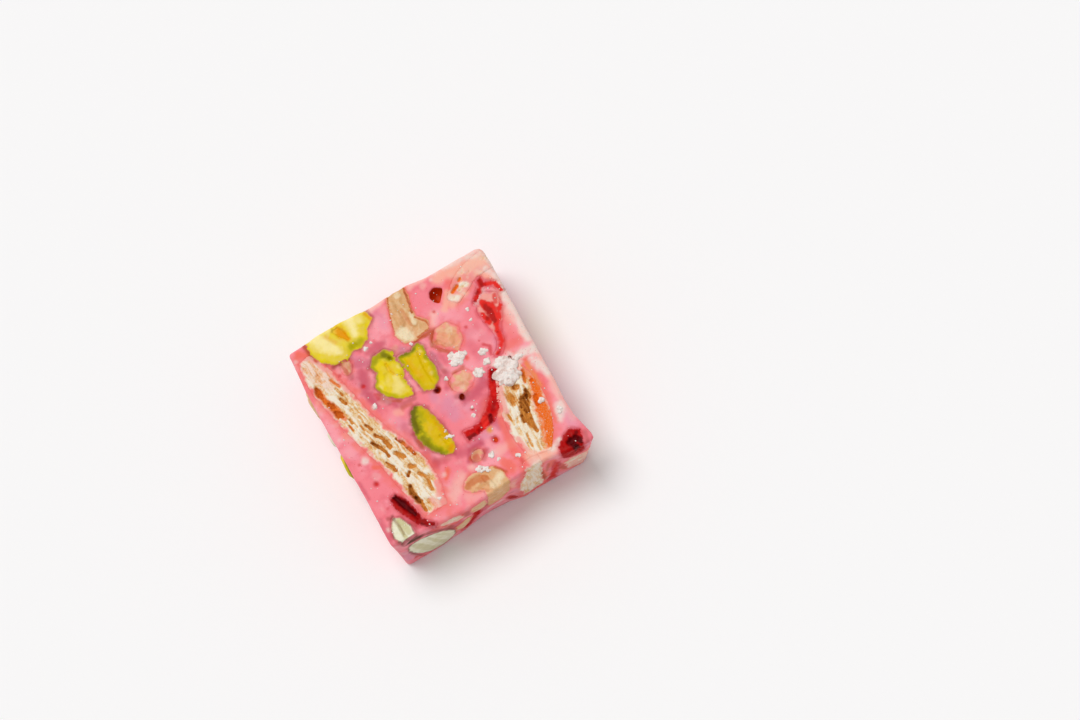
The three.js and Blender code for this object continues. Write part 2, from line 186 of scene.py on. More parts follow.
class Piece:
    # a fine copy of one solid, worked on as arrays
    def __init__(self, node, voxel):
        self.node = node
        self.family, _, self.kind = node.partition("_")
        self.voxel = voxel
        self.object = remesh(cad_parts[node].data.copy(), pieceName(node), voxel)
        self.own = treeOf([node])
        self.others = treeOf([name for name in shells if name != node])
        self.read()
        self.thin()

    def read(self):
        mesh = self.object.data
        self.points = readPoints(mesh)
        flat = np.empty(len(mesh.edges) * 2, int)
        mesh.edges.foreach_get("vertices", flat)
        self.pairs = flat.reshape(-1, 2)
        self.degree = np.bincount(flat, minlength=len(self.points)).clip(1)
        self.facing = np.empty_like(self.points)
        self.room = np.full(len(self.points), np.inf)
        for i, point in enumerate(self.points.tolist()):
            point = Vector(point)
            place, normal = self.own.find_nearest(point)[:2]
            self.points[i] = place
            self.facing[i] = normal
            hit = self.others.ray_cast(point, normal, widestGap)
            if hit[3] is not None:
                self.room[i] = hit[3]
        self.buried = np.isfinite(self.room)
        self.shown = (~self.buried).astype(float)

    def thin(self):
        # the sides that nothing can see need few faces
        hidden = self.mean(1 - self.shown) > 0.99
        share = hidden.mean()
        if share < thinFrom:
            return
        group = self.object.vertex_groups.new(name="hidden")
        group.add(np.flatnonzero(hidden).tolist(), 1.0, "REPLACE")
        fewer = self.object.modifiers.new("fewer", "DECIMATE")
        fewer.vertex_group = group.name
        fewer.ratio = 1 - share * (1 - hiddenKept)
        bake(self.object)
        self.object.vertex_groups.clear()
        self.read()

    def mean(self, values):
        # each vertex's mean over its neighbours
        first, second = self.pairs.T
        flat = values.reshape(len(values), -1)
        total = np.empty_like(flat)
        for k in range(flat.shape[1]):
            total[:, k] = np.bincount(first, flat[second, k], len(flat))
            total[:, k] += np.bincount(second, flat[first, k], len(flat))
        return (total / self.degree[:, None]).reshape(values.shape)

    def ease(self, rounds, where):
        # draws the points halfway to their neighbours' middle
        for _ in range(rounds):
            self.points += (self.mean(self.points) - self.points) * 0.5 * where[:, None]

    def tuck(self):
        # swells the hidden sides into their pocket's wall and draws the rim of the cut face with them
        shift = np.zeros_like(self.points)
        shift[self.buried] = self.facing[self.buried] * (self.room[self.buried, None] + pressIn)
        shown = ~self.buried
        for _ in range(int(rimWidth / self.voxel)):
            mean = self.mean(shift)
            lift = (mean * self.facing).sum(1)[:, None] * self.facing
            shift[shown] = (mean - lift)[shown]
        self.points += shift

    def distance(self, tree, reach=6.0):
        found = np.full(len(self.points), reach)
        for i, point in enumerate(self.points.tolist()):
            near = tree.find_nearest(point, reach)
            if near[3] is not None:
                found[i] = near[3]
        return found

    def rim(self):
        # how far the cut face lies inside its own rim
        return np.clip(self.distance(self.others, 3.0) - pocketGap, 0, None)

    def sink(self, depth):
        # carves the shown faces and gives them the swell that the whole cut surface shares
        self.points -= self.facing * (depth * self.shown)[:, None]
        self.points += swayed(self.points)

    def store(self, **masks):
        mesh = self.object.data
        for name, values in masks.items():
            layer = mesh.attributes.get(name) or mesh.attributes.new(name, "FLOAT", "POINT")
            layer.data.foreach_set("value", np.clip(values, 0, 1).astype(np.float32))

    def write(self, material, slot):
        mesh = self.object.data
        self.points[:, 2] = self.points[:, 2].clip(0)
        mesh.vertices.foreach_set("co", (self.points * mm).ravel())
        mesh.materials.clear()
        mesh.materials.append(material)
        mesh.shade_smooth()
        mesh.update()
        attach(self.object, "root")
        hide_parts(self.node)


# the slow swell of the block's faces: how high, then each face's axis, side and size of swell
swayHeight = 0.16
swayFaces = ((0, -1, 7.0), (0, 1, 8.0), (1, -1, 6.0), (1, 1, 8.0), (2, 1, 10.0))


def swayed(points):
    low, high = (np.array(corner) / mm for corner in cadBox)
    sway = np.zeros_like(points)
    for axis, side, size in swayFaces:
        face = (high if side > 0 else low)[axis] if axis < 2 else blockTop
        near = smoothStep(3.5, 0.8, abs(points[:, axis] - face))
        sway[:, axis] += side * near * swayHeight * ripple(points, size, 3 + axis + side)
    return sway


class Wire:
    # a socket that can stand in a sum
    def __init__(self, recipe, socket):
        self.recipe = recipe
        self.socket = socket

    def calc(self, operation, *values, clamp=False):
        settings = {"operation": operation, "use_clamp": clamp}
        return self.recipe.node("ShaderNodeMath", settings, dict(enumerate(values)))

    def __add__(self, other):
        return self.calc("ADD", self, other)

    def __radd__(self, other):
        return self.calc("ADD", other, self)

    def __sub__(self, other):
        return self.calc("SUBTRACT", self, other)

    def __rsub__(self, other):
        return self.calc("SUBTRACT", other, self)

    def __mul__(self, other):
        return self.calc("MULTIPLY", self, other)

    def __rmul__(self, other):
        return self.calc("MULTIPLY", other, self)

    def clamped(self):
        return self.calc("ADD", self, 0.0, clamp=True)

    def between(self, low, high):
        # 0 below low, 1 above high, and eased between them
        settings = {"interpolation_type": "SMOOTHSTEP"}
        return self.recipe.node("ShaderNodeMapRange", settings, {0: self, 1: low, 2: high})


class Recipe:
    # one procedural material
    def __init__(self, name):
        self.material = bpy.data.materials.new(name)
        self.material.use_nodes = True
        self.tree = self.material.node_tree
        self.tree.nodes.clear()

    def node(self, kind, settings=None, values=None, out=0):
        made = self.tree.nodes.new(kind)
        for key, value in (settings or {}).items():
            setattr(made, key, value)
        for key, value in (values or {}).items():
            if isinstance(value, Wire):
                self.tree.links.new(value.socket, made.inputs[key])
            else:
                made.inputs[key].default_value = value
        return Wire(self, made.outputs[out]) if made.outputs else None

    def read(self, name):
        # a value that the mesh carries
        return self.node("ShaderNodeAttribute", {"attribute_name": name}, out="Fac")

    def clouds(self, size, detail=2.0, seed=0.0):
        # noise over the surface's own place, its size in millimetres
        here = self.node("ShaderNodeTexCoord", out="Object")
        shifted = {0: here, 1: (1 / (size * mm),) * 3, 2: (seed, seed * 1.7, seed * 0.6)}
        at = self.node("ShaderNodeVectorMath", {"operation": "MULTIPLY_ADD"}, shifted)
        values = {"Vector": at, "Scale": 1.0, "Detail": detail, "Roughness": 0.55}
        return self.node("ShaderNodeTexNoise", None, values)

    def mix(self, share, first, second):
        values = {0: share, 6: first, 7: second}
        return self.node("ShaderNodeMix", {"data_type": "RGBA"}, values, out=2)

    def lay(self, body, name, colour, cloud=None, stray=0.0):
        # lays a colour where the mesh carries its mask, which a cloud can make uneven
        mask = self.read(name)
        if cloud is not None:
            mask = (mask + (cloud - 0.5) * stray).clamped()
        return self.mix(mask, body, colour)

    def bump(self, height, depth, strength=1.0):
        values = {"Height": height, "Distance": depth * mm, "Strength": strength}
        return self.node("ShaderNodeBump", None, values)

    def surface(self, **values):
        named = {key.replace("_", " "): value for key, value in values.items()}
        shader = self.node("ShaderNodeBsdfPrincipled", None, named)
        self.node("ShaderNodeOutputMaterial", None, {"Surface": shader})
        return self.material


def paint(code):
    # a colour from its six hex digits
    parts = [int(code[i:i + 2], 16) / 255 for i in (0, 2, 4)]
    return tuple(c / 12.92 if c <= 0.04045 else ((c + 0.055) / 1.055) ** 2.4 for c in parts) + (1.0,)


def paints(look):
    return {name: paint(code) for name, code in look.items() if isinstance(code, str)}


nougatLook = {
    "pink": "fa8590", "light": "ffa0aa", "deep": "ee707e", "coral": "f66c58", "lilac": "e090aa",
    # the mauve is partly nuts seen through thin nougat, partly painted shade round their edges
    "rose": "cc4c62", "pale": "ffc6b8", "mauve": "a63c32", "blush": "d42832", "dust": "f3dcd3",
    "hollow": "d2400e", "amber": "ea9a3c", "peach": "ffb69e", "rust": "c0501c", "maroon": "64000c",
    # the umber is dark painted shade round the almonds, partly their brown skin
    "umber": "5a2808", "swell": 0.05,
    # how soft, how uneven and how coarse its tints are
    "brush": (0.8, 0.3, 1.6),
    # from where to where along y the front wall's tints come in
    "front": (-19, -22),
    # half sizes of the block without its outer faces
    "core": (20, 21, 7.55),
    # tints of the top face, each a strength and the knots of a line: x, y, half width
    "tints": {
        # mauve: painted shade along the nuts' edges, partly the mauve of nuts seen through thin nougat
        "mauve": [
            (0.5, (-4.4, 1.8, 0.7), (-6.4, 1.9, 0.8)), (0.3, (-3.0, 13.0, 0.7), (-0.6, 11.8, 0.6)),
            (0.7, (-7.9, -4.8, 0.5), (-7.7, -8.0, 0.6)), (0.3, (-6.4, -12.0, 0.8), (-4.0, -12.9, 0.7)),
            (0.45, (3.8, 3.4, 0.6), (3.2, 8.4, 0.6)), (0.45, (-13.4, 12.6, 0.8), (-12.6, 14.6, 0.8)),
            (0.4, (-9.0, 3.4, 0.5), (-10.4, 5.6, 0.5)), (0.5, (1.4, -14.2, 0.8), (0.2, -16.2, 0.7)),
            (0.6, (-20.6, -17.6, 0.5), (-16.4, -21.6, 0.5)), (0.5, (3.6, -2.4, 0.7), (5.6, -3.0, 0.7)),
            (0.5, (22.6, -22.4, 0.8), (22.2, -24.0, 0.6)),
            (0.9, (-15.6, 16.2, 0.6), (-13.8, 16.0, 0.7), (-12.0, 16.2, 0.6)),
            (0.4, (2.2, -16.6, 0.6), (3.0, -15.2, 0.5)),
        ],
        "coral": [
            (0.9, (-20.8, 22.0, 1.5), (-19.2, 21.2, 0.9)), (0.7, (-18.4, 19.2, 0.4)),
            (0.9, (-18.2, -6.7, 0.6), (-16.9, -7.5, 0.5)), (0.5, (-17.0, -9.0, 0.6), (-15.9, -11.6, 0.5)),
            (0.6, (-15.0, 10.8, 0.7), (-13.6, 9.0, 0.8)), (0.5, (-12.7, 3.8, 0.6), (-12.4, 1.6, 0.6)),
            (0.8, (-12.8, -0.5, 0.5), (-11.7, -2.3, 0.6)), (0.6, (-8.8, -17.0, 0.5), (-8.2, -21.2, 0.6)),
            (1.0, (-6.4, -16.4, 0.6), (-5.2, -14.9, 0.7)), (0.5, (-9.6, -18.3, 0.6)),
            (0.8, (4.9, 23.0, 0.35), (4.4, 19.0, 0.35)), (0.6, (0.8, 23.4, 0.3), (-0.6, 19.0, 0.3)),
            (0.7, (9.3, 3.6, 0.6)), (0.3, (14.0, 21.8, 1.0), (17.6, 20.4, 1.0)), (0.5, (20.8, 19.6, 0.6)),
            (0.5, (20.8, 17.0, 0.8)), (0.5, (21.5, 14.0, 0.7)),
            (0.8, (19.4, -2.6, 0.9), (19.7, -8.0, 1.1), (19.4, -12.0, 1.0), (18.7, -17.0, 1.0)),
            (0.6, (20.2, 1.5, 1.2), (17.4, 1.2, 1.2), (17.6, 3.5, 0.8)), (0.5, (18.0, -0.5, 0.8)),
            (0.7, (9.3, -9.6, 0.7), (8.8, -14.0, 0.9), (8.3, -18.0, 1.2), (9.0, -21.2, 1.2)),
            (0.8, (5.4, -19.4, 1.2), (6.4, -21.0, 1.6)), (0.8, (3.3, -19.4, 0.5), (4.9, -21.6, 0.5)),
            (0.5, (8.6, -6.8, 1.4), (6.6, -8.5, 1.1)), (0.4, (19.5, 7.0, 1.4), (19.8, 3.6, 1.4)),
        ],
        "lilac": [
            (0.65, (1.2, -3.0, 2.4), (1.6, -5.6, 1.6)), (0.6, (-0.4, -0.2, 1.3)),
            (0.6, (3.3, 5.0, 0.9), (3.5, 8.2, 0.7)), (0.5, (-11.4, 14.8, 1.6), (-9.4, 13.4, 1.2)),
            (0.7, (-1.4, 12.2, 0.8)), (0.4, (15.8, 16.2, 1.2), (17.4, 17.1, 1.0)),
            (0.3, (16.3, 4.2, 1.1), (15.5, 1.6, 1.0)), (0.5, (2.6, -12.8, 1.6), (7.4, -11.6, 1.0)),
            (0.45, (21.0, -16.6, 1.0), (21.4, -20.2, 1.2)), (0.5, (-14.3, -17.0, 0.5), (-14.3, -19.8, 0.4)),
            (0.35, (-9.0, -1.5, 1.5)), (0.4, (4.5, -5.5, 1.5)),
            (0.35, (-2.5, 21.5, 1.2), (-2.0, 18.6, 1.2)),
        ],
        "rose": [
            (0.85, (-11.6, 4.6, 1.1), (-12.2, 8.0, 1.3), (-11.2, 11.6, 1.8)),
            (0.6, (-11.6, 14.6, 1.4), (-9.6, 13.6, 1.2)),
            (0.75, (9.8, -2.4, 1.6), (7.4, -3.8, 1.6), (4.6, -4.0, 1.0)),
            (0.5, (8.6, -5.4, 1.2), (6.0, -8.0, 1.2)),
            (0.25, (12.0, 1.6, 1.0), (11.2, 7.4, 1.4), (14.0, 8.4, 1.2)), (0.2, (14.6, 5.6, 1.4)),
            (0.7, (-9.6, 4.6, 1.0), (-8.0, 2.4, 1.0)), (0.7, (-7.2, 15.2, 1.4), (-4.4, 15.4, 0.9)),
            (0.5, (6.2, -3.4, 1.8), (8.6, -2.6, 1.4)), (0.7, (-7.0, -12.8, 1.2), (-7.7, -9.4, 0.8)),
            (0.6, (1.0, -13.8, 1.6), (-1.8, -13.0, 1.2)), (0.6, (3.0, 0.4, 0.9), (4.0, 3.0, 1.1)),
            (0.5, (8.2, -9.8, 0.8), (8.0, -12.6, 0.8)), (0.5, (10.4, -4.0, 0.9)),
            (0.5, (-17.9, -19.4, 0.9), (-16.6, -22.0, 0.9)),
            (0.9, (3.0, -13.4, 1.0), (0.6, -14.0, 1.2), (-0.4, -15.6, 0.8)), (0.8, (3.2, -15.4, 0.9)),
            (0.5, (-22.2, -17.0, 0.6), (-22.0, -21.5, 0.8)), (0.5, (-22.2, -8.0, 0.4), (-22.1, -12.0, 0.4)),
            (0.4, (4.6, 7.0, 0.7), (5.2, 5.0, 0.7)), (0.5, (-9.0, -2.6, 1.0), (-8.0, -5.0, 0.9)),
        ],
        "pale": [
            (0.8, (2.0, 24.2, 0.9), (-4.4, 22.9, 0.8)), (0.7, (6.0, 23.2, 0.8), (12.0, 23.4, 0.9)),
            (0.6, (7.6, 15.2, 1.0), (6.4, 13.6, 0.8)), (0.5, (8.6, 21.8, 0.8)),
            (0.7, (20.8, 9.0, 1.4), (21.3, 5.6, 1.0)),
            # the pale marks along the right edge, x above 22, are a painted highlight on the lit edge
            (1.0, (23.0, 23.0, 1.8), (22.6, 9.0, 1.3), (22.2, 1.0, 1.1)),
            (0.8, (22.4, -1.0, 1.2), (22.2, -13.0, 0.8)), (0.6, (-21.9, 11.2, 0.6)),
            (0.6, (-20.0, 1.6, 0.9)), (0.6, (-3.6, -17.8, 1.5), (-7.0, -20.4, 1.5)),
            (0.6, (-0.8, -17.0, 0.9)), (0.6, (21.6, -10.0, 0.8), (21.8, -18.4, 0.8)),
            (0.4, (-4.0, -22.0, 1.6), (4.0, -23.2, 0.9)), (0.6, (15.6, 21.6, 1.6), (21.4, 21.4, 1.4)),
            (0.5, (-8.4, -13.4, 0.8)), (0.6, (-18.4, 3.0, 0.6)), (0.6, (20.8, 13.0, 0.8)),
            (0.5, (9.0, -16.6, 1.0), (5.8, -16.8, 1.2)), (1.0, (10.6, -21.6, 1.3), (14.6, -22.6, 1.4)),
            (0.7, (12.4, 22.8, 0.8), (16.4, 22.6, 1.0), (21.0, 22.4, 1.2)),
            (0.5, (11.4, 16.2, 1.0), (14.6, 16.0, 1.0), (16.8, 16.8, 0.8)),
        ],
        "dust": [
            (1.0, (17.6, -1.4, 0.8), (20.0, -1.3, 1.1), (22.6, -1.7, 1.3)),
            # the dust along the right edge, x above 22, is a painted highlight as well as powder
            (0.9, (22.6, 14.0, 0.9), (22.4, 10.0, 1.0), (22.2, 3.0, 1.0), (22.0, 0.6, 0.8)),
            (1.0, (20.7, -3.4, 0.9), (21.3, -5.2, 1.3), (22.3, -7.4, 0.9)),
            (0.9, (23.3, 23.0, 1.0), (23.0, 12.0, 0.7)),
            (1.0, (21.0, -14.6, 0.8), (20.4, -16.0, 1.0), (19.6, -17.4, 0.7)),
            (0.7, (15.4, 17.9, 0.7), (16.4, 17.4, 0.7)), (0.6, (13.2, 15.8, 0.9), (12.1, 16.6, 0.6)),
            (0.8, (21.6, 18.2, 0.8), (22.4, 16.4, 0.6)),
            (0.7, (14.4, 22.9, 0.8), (17.4, 22.9, 1.1), (21.6, 22.5, 1.3)), (0.6, (11.9, 23.1, 0.7)),
            (0.5, (10.6, 22.1, 0.5)), (0.7, (21.8, 5.4, 0.6), (21.6, 1.6, 0.5)), (1.0, (-19.0, -4.6, 0.9)),
            (0.8, (-12.2, 4.3, 0.55)), (0.9, (15.2, -22.0, 0.8), (17.4, -20.9, 0.6)),
            (0.5, (11.0, -22.6, 1.4)), (0.6, (-21.6, -19.6, 0.5)), (0.5, (-21.9, 21.2, 0.45)),
            (0.5, (-21.8, 1.9, 0.45)), (0.5, (-6.4, -15.4, 0.6)), (0.6, (-8.0, 16.2, 0.6)),
            (0.4, (-9.4, -19.2, 0.5)), (0.5, (18.4, 14.3, 1.0), (16.6, 12.8, 0.7)),
            (0.4, (-18.6, 0.6, 0.6)), (0.4, (4.4, -16.5, 0.9)), (0.8, (14.2, -1.0, 1.0), (17.0, -0.8, 0.9)),
            (0.9, (20.4, -14.6, 0.9), (19.8, -17.0, 0.9)),
        ],
        "amber": [(1.0, (6.1, -12.0, 0.75)), (0.5, (19.2, -3.6, 0.6), (19.4, -9.0, 0.6))],
        "peach": [
            (0.85, (11.6, 21.6, 1.2), (16.0, 21.6, 1.8), (21.0, 20.6, 1.8)),
            (0.8, (19.6, 18.6, 0.9), (21.4, 16.4, 0.8)), (0.75, (10.2, 15.0, 0.8), (12.4, 17.6, 1.0)),
            (0.8, (11.8, 15.2, 0.9), (15.4, 16.0, 0.8)), (0.7, (20.6, 11.0, 0.6), (22.0, 12.6, 0.5)),
            (0.85, (10.4, -20.6, 1.0), (12.6, -22.4, 1.3), (15.2, -21.6, 1.0)),
            (0.5, (9.8, -6.6, 0.7), (9.4, -10.0, 0.6)), (0.6, (-3.4, 12.8, 0.7), (-2.4, 13.2, 0.5)),
            (0.55, (-8.6, 1.0, 0.8), (-7.8, 0.4, 0.7)), (0.5, (-15.2, 6.4, 1.0), (-14.6, 3.0, 0.8)),
            (0.5, (22.0, 3.0, 0.5), (22.0, 0.6, 0.5)),
        ],
        "rust": [
            (0.9, (1.6, 12.3, 0.3), (4.0, 12.3, 0.5), (5.8, 12.3, 0.7), (4.8, 11.0, 0.6), (4.3, 9.6, 0.5)),
            (0.7, (4.3, 9.6, 0.4), (5.2, 8.0, 0.5), (6.6, 6.6, 0.4)),
            (0.6, (5.4, 2.3, 0.5), (7.6, 2.4, 0.5)), (0.5, (3.8, 1.0, 0.4), (3.4, -0.6, 0.4)),
            (0.7, (-18.9, 23.2, 0.35), (-18.7, 20.6, 0.35), (-18.0, 18.6, 0.35)),
            (0.5, (-13.6, 15.9, 0.5), (-12.4, 15.9, 0.5)), (0.5, (-7.2, 1.2, 0.5), (-5.2, 1.0, 0.5)),
            (0.6, (-10.4, 6.4, 0.25), (-8.6, 3.7, 0.3), (-6.8, 2.6, 0.3)),
            (0.7, (-7.7, -6.4, 0.4), (-7.4, -8.4, 0.4)), (0.6, (3.4, -19.4, 0.4), (4.8, -21.2, 0.4)),
            (0.5, (-0.2, -15.2, 0.5)), (0.4, (11.2, -5.0, 0.4), (10.6, -6.6, 0.4)),
        ],
        # umber: a painted shadow line along the front edge under the almond, and painted shade beside its
        # hollow
        "umber": [
            (0.8, (-20.6, -24.0, 0.5), (-17.4, -23.8, 0.5)),
            (0.5, (-20.0, -18.0, 0.3), (-19.6, -17.6, 0.3)),
        ],
        "maroon": [(1.0, (0.75, 0.9, 0.8)), (0.9, (4.5, -3.3, 0.65))],
        "blush": [
            (1.0, (-19.3, -10.0, 0.65)), (1.0, (-12.1, 9.3, 0.5)), (0.5, (12.2, 9.4, 0.4)),
            (0.6, (8.0, 15.7, 0.35)), (0.6, (13.1, 5.5, 0.25)), (0.5, (-15.3, 13.8, 0.4)),
            (0.5, (-20.5, -4.8, 0.4)), (0.4, (-5.7, 16.8, 0.4)), (0.5, (-19.7, -15.8, 0.35)),
            (0.7, (5.1, -6.4, 0.4)), (0.75, (13.6, 4.3, 0.4), (14.5, 3.4, 0.45), (13.9, 1.8, 0.45)),
            (0.5, (-10.4, 4.4, 0.5), (-10.8, 6.6, 0.4)), (0.35, (-7.0, -12.4, 0.9), (-5.0, -13.0, 0.7)),
            (0.5, (8.8, -20.8, 0.5)), (0.6, (6.1, -14.3, 1.0)), (0.5, (9.2, 3.8, 0.4)),
            (0.4, (-9.9, 4.3, 0.4)),
        ],
    },
    # tints of the front wall: x, z, half width
    "frontTints": {
        # mauve: painted shade round the nuts on the front wall, partly the mauve of nuts seen through the
        # nougat
        "mauve": [
            (0.8, (-18.9, 14.2, 1.3), (-16.2, 14.4, 1.0)),
            (0.7, (-15.0, 14.2, 0.8), (-11.4, 9.6, 0.9), (-10.6, 6.0, 0.6)),
            (0.5, (-20.4, 6.0, 0.6), (-18.6, 1.4, 0.6)), (0.6, (-6.2, 14.4, 1.0), (-6.4, 11.0, 1.0)),
            (0.6, (-2.4, 8.8, 1.0), (-0.8, 11.0, 0.5)), (0.7, (-11.2, 10.4, 0.6), (-10.2, 7.4, 0.7)),
            (0.6, (10.8, 9.8, 0.4), (10.9, 4.0, 0.5)), (0.5, (20.6, 11.0, 0.7)),
            (0.5, (14.6, 10.6, 0.6), (15.4, 4.0, 0.7)),
        ],
        # umber: painted shade in the seams round the almonds and nuts, partly the almond's brown skin
        "umber": [
            (1.0, (-19.8, 14.4, 1.1), (-17.2, 14.8, 1.2)),
            (0.5, (-19.6, 12.4, 0.3), (-20.7, 7.6, 0.3), (-19.2, 2.6, 0.3)),
            (0.4, (-15.6, 13.6, 0.4), (-12.2, 10.6, 0.4), (-10.6, 7.0, 0.3)),
            (0.6, (-1.3, 13.4, 0.3), (-1.6, 10.0, 0.3)), (0.4, (-4.4, 10.4, 0.4)),
        ],
        "rust": [
            (0.7, (11.0, 10.4, 0.5), (10.6, 4.0, 0.6)), (0.6, (13.0, 12.8, 0.5), (12.0, 9.0, 0.5)),
            (0.5, (14.8, 6.0, 0.5), (15.4, 3.6, 0.5)), (0.4, (-11.6, 13.0, 0.5), (-10.6, 9.6, 0.5)),
        ],
        "peach": [
            (0.7, (3.4, 14.4, 0.7), (4.6, 11.0, 0.7)), (0.7, (-11.4, 15.2, 0.8)),
            (0.6, (20.4, 8.0, 0.5), (20.2, 4.0, 0.5)), (0.6, (14.6, 7.4, 0.5)),
        ],
        "blush": [(0.6, (14.4, 12.6, 0.6), (13.4, 9.4, 0.5))],
        "coral": [
            (0.8, (11.6, 10.0, 0.8), (11.2, 5.0, 0.9)), (0.8, (14.0, 13.6, 1.0), (13.2, 10.4, 0.8)),
            (0.6, (21.0, 7.0, 0.8)), (0.5, (5.4, 14.4, 1.0)), (0.5, (-9.6, 13.4, 2.0)),
            (0.5, (14.6, 4.0, 0.6), (15.4, 8.6, 0.5)),
        ],
        "lilac": [
            (0.7, (-21.6, 9.0, 1.2), (-21.4, 4.0, 1.0)), (0.7, (22.2, 14.0, 1.0)),
            (0.6, (4.2, 8.0, 1.0), (4.8, 4.0, 0.8)),
        ],
        "rose": [
            (0.8, (-9.2, 9.4, 1.6), (-8.2, 7.4, 1.0)), (0.7, (-3.0, 6.6, 1.6)), (0.5, (3.2, 7.4, 0.8)),
            (0.5, (8.8, 15.6, 1.0)),
        ],
        "pale": [(0.7, (4.6, 12.4, 0.8), (5.2, 14.6, 0.8)), (0.4, (-10.6, 3.4, 0.8))],
        "dust": [(0.6, (-2.0, 4.4, 0.8), (0.6, 5.2, 0.8)), (0.4, (-11.6, 1.4, 0.8))],
    },
    # open pits on the top face: x, y, radius, depth
    "pits": [
        (0.75, 0.9, 0.8, 1.1), (-12.1, 9.3, 0.4, 0.3), (-19.3, -10.0, 0.45, 0.3), (12.2, 9.4, 0.3, 0.25),
        (8.0, 15.7, 0.3, 0.2), (5.0, -6.4, 0.35, 0.4), (-7.4, 0.6, 0.3, 0.2), (2.4, -12.6, 0.35, 0.25),
        (-20.5, -4.8, 0.3, 0.2), (13.1, 5.5, 0.25, 0.2), (-15.3, 13.8, 0.35, 0.25), (7.7, -19.9, 0.3, 0.2),
    ],
    "strayPits": 34,
}
halos = {
    # how each family tints the nougat round it: the tint, its strength and its reach. The mauve round
    # pistachios and almonds is partly painted shade at their edges
    "biscuit": ("coral", 0.62, 2.3),
    "walnut": ("coral", 0.5, 1.2),
    "pistachio": ("mauve", 0.55, 1.2),
    "almond": ("mauve", 0.45, 1.1),
    "strawberry": ("blush", 0.5, 1.1),
}


def tintNougat(piece, near):
    # stores the nougat's tints; the fillings carry them too, under the nougat that veils them
    points = piece.points
    top = smoothStep(blockTop - 3.5, blockTop - 0.6, points[:, 2])
    front = smoothStep(*nougatLook["front"], points[:, 1])
    front *= smoothStep(blockTop - 0.3, blockTop - 1.2, points[:, 2])
    masks = {}
    for name, marks in nougatLook["tints"].items():
        wallMarks = nougatLook["frontTints"].get(name, ())
        masks[name] = painted(points, marks, *nougatLook["brush"]) * top * (1 - front)
        masks[name] += painted(points, wallMarks, *nougatLook["brush"], axes=(0, 2)) * front
    wobble = rough(points, 1.5, 2, 12)
    for family, gap in near.items():
        if family in halos:
            name, strength, reach = halos[family]
            halo = strength * smoothStep(reach, 0.2, gap + 0.35 * reach * wobble)
            masks[name] = np.maximum(masks[name], halo)
    walls = (1 - top) * (1 - 0.7 * front)
    patch = rough(points, 5.5, 2, 21)
    spread = [
        ("coral", walls * 0.4 * smoothStep(0.1, 0.7, patch)),
        ("lilac", walls * 0.55 * smoothStep(0.1, -0.6, patch)),
        ("rose", walls * 0.5 * smoothStep(0.0, 0.8, rough(points, 4.0, 2, 24))),
        ("dust", (0.2 + 0.3 * walls) * smoothStep(0.45, 0.95, rough(points, 3.4, 3, 33))),
    ]
    if "milk" in near:
        spread.append(("dust", 0.8 * smoothStep(1.8, 0.3, near["milk"] + 0.8 * wobble)))
    for name, mask in spread:
        masks[name] = np.maximum(masks[name], mask)
    piece.store(**masks)


def tintFilling(piece):
    # as the nougat is tinted close beside it
    tintNougat(piece, {piece.family: np.full(len(piece.points), 0.4)})


def nougatBody(recipe):
    # the nougat's colour, from the tints that the mesh carries
    look = paints(nougatLook)
    body = recipe.mix(recipe.clouds(6.0, 2.0).between(0.4, 0.66), look["pink"], look["light"])
    body = recipe.mix(recipe.clouds(3.0, 3.0, seed=9.0).between(0.5, 0.74) * 0.7, body, look["deep"])
    for name in ("pale", "lilac", "rose", "coral", "peach", "mauve", "rust", "blush", "amber"):
        body = recipe.lay(body, name, look[name])
    dust = recipe.read("dust") * (recipe.clouds(0.9, 3.0, seed=4.0).between(0.3, 0.6) * 0.35 + 0.65)
    return recipe.mix(dust, body, look["dust"])


def nougatMaterial():
    recipe = Recipe("nougatSatin")
    fine = recipe.clouds(0.9, 3.0, seed=4.0)
    specks = recipe.clouds(0.4, 1.0, seed=2.0).between(0.71, 0.77)
    body = recipe.mix(specks * 0.5, nougatBody(recipe), paint(nougatLook["blush"]))
    # the umber is dark painted shade round the almonds, partly their brown skin
    for name in ("hollow", "maroon", "umber"):
        body = recipe.lay(body, name, paint(nougatLook[name]))
    grain = fine * 0.6 + recipe.clouds(0.28, 2.0, seed=6.0) * 0.4
    return recipe.surface(
        Base_Color=body,
        Roughness=(0.4 + fine * 0.16 + recipe.read("dust") * 0.3).clamped(),
        IOR=1.46,
        Specular_IOR_Level=0.12,
        Subsurface_Weight=0.14,
        Subsurface_Radius=(1.0, 0.4, 0.35),
        Subsurface_Scale=0.8 * mm,
        Normal=recipe.bump(grain, 0.07, 0.45),
    )


def dig(piece, spots, mask):
    # round pits, sunk along the surface's own facing
    for centre, radius, depth, dark in spots:
        reach = np.linalg.norm(piece.points - centre, axis=1) / radius
        sunk = np.clip(1 - reach ** 2, 0, 1) ** 0.7
        piece.points -= piece.facing * (depth * sunk)[:, None]
        np.maximum(mask, dark * smoothStep(1.1, 0.5, reach), out=mask)


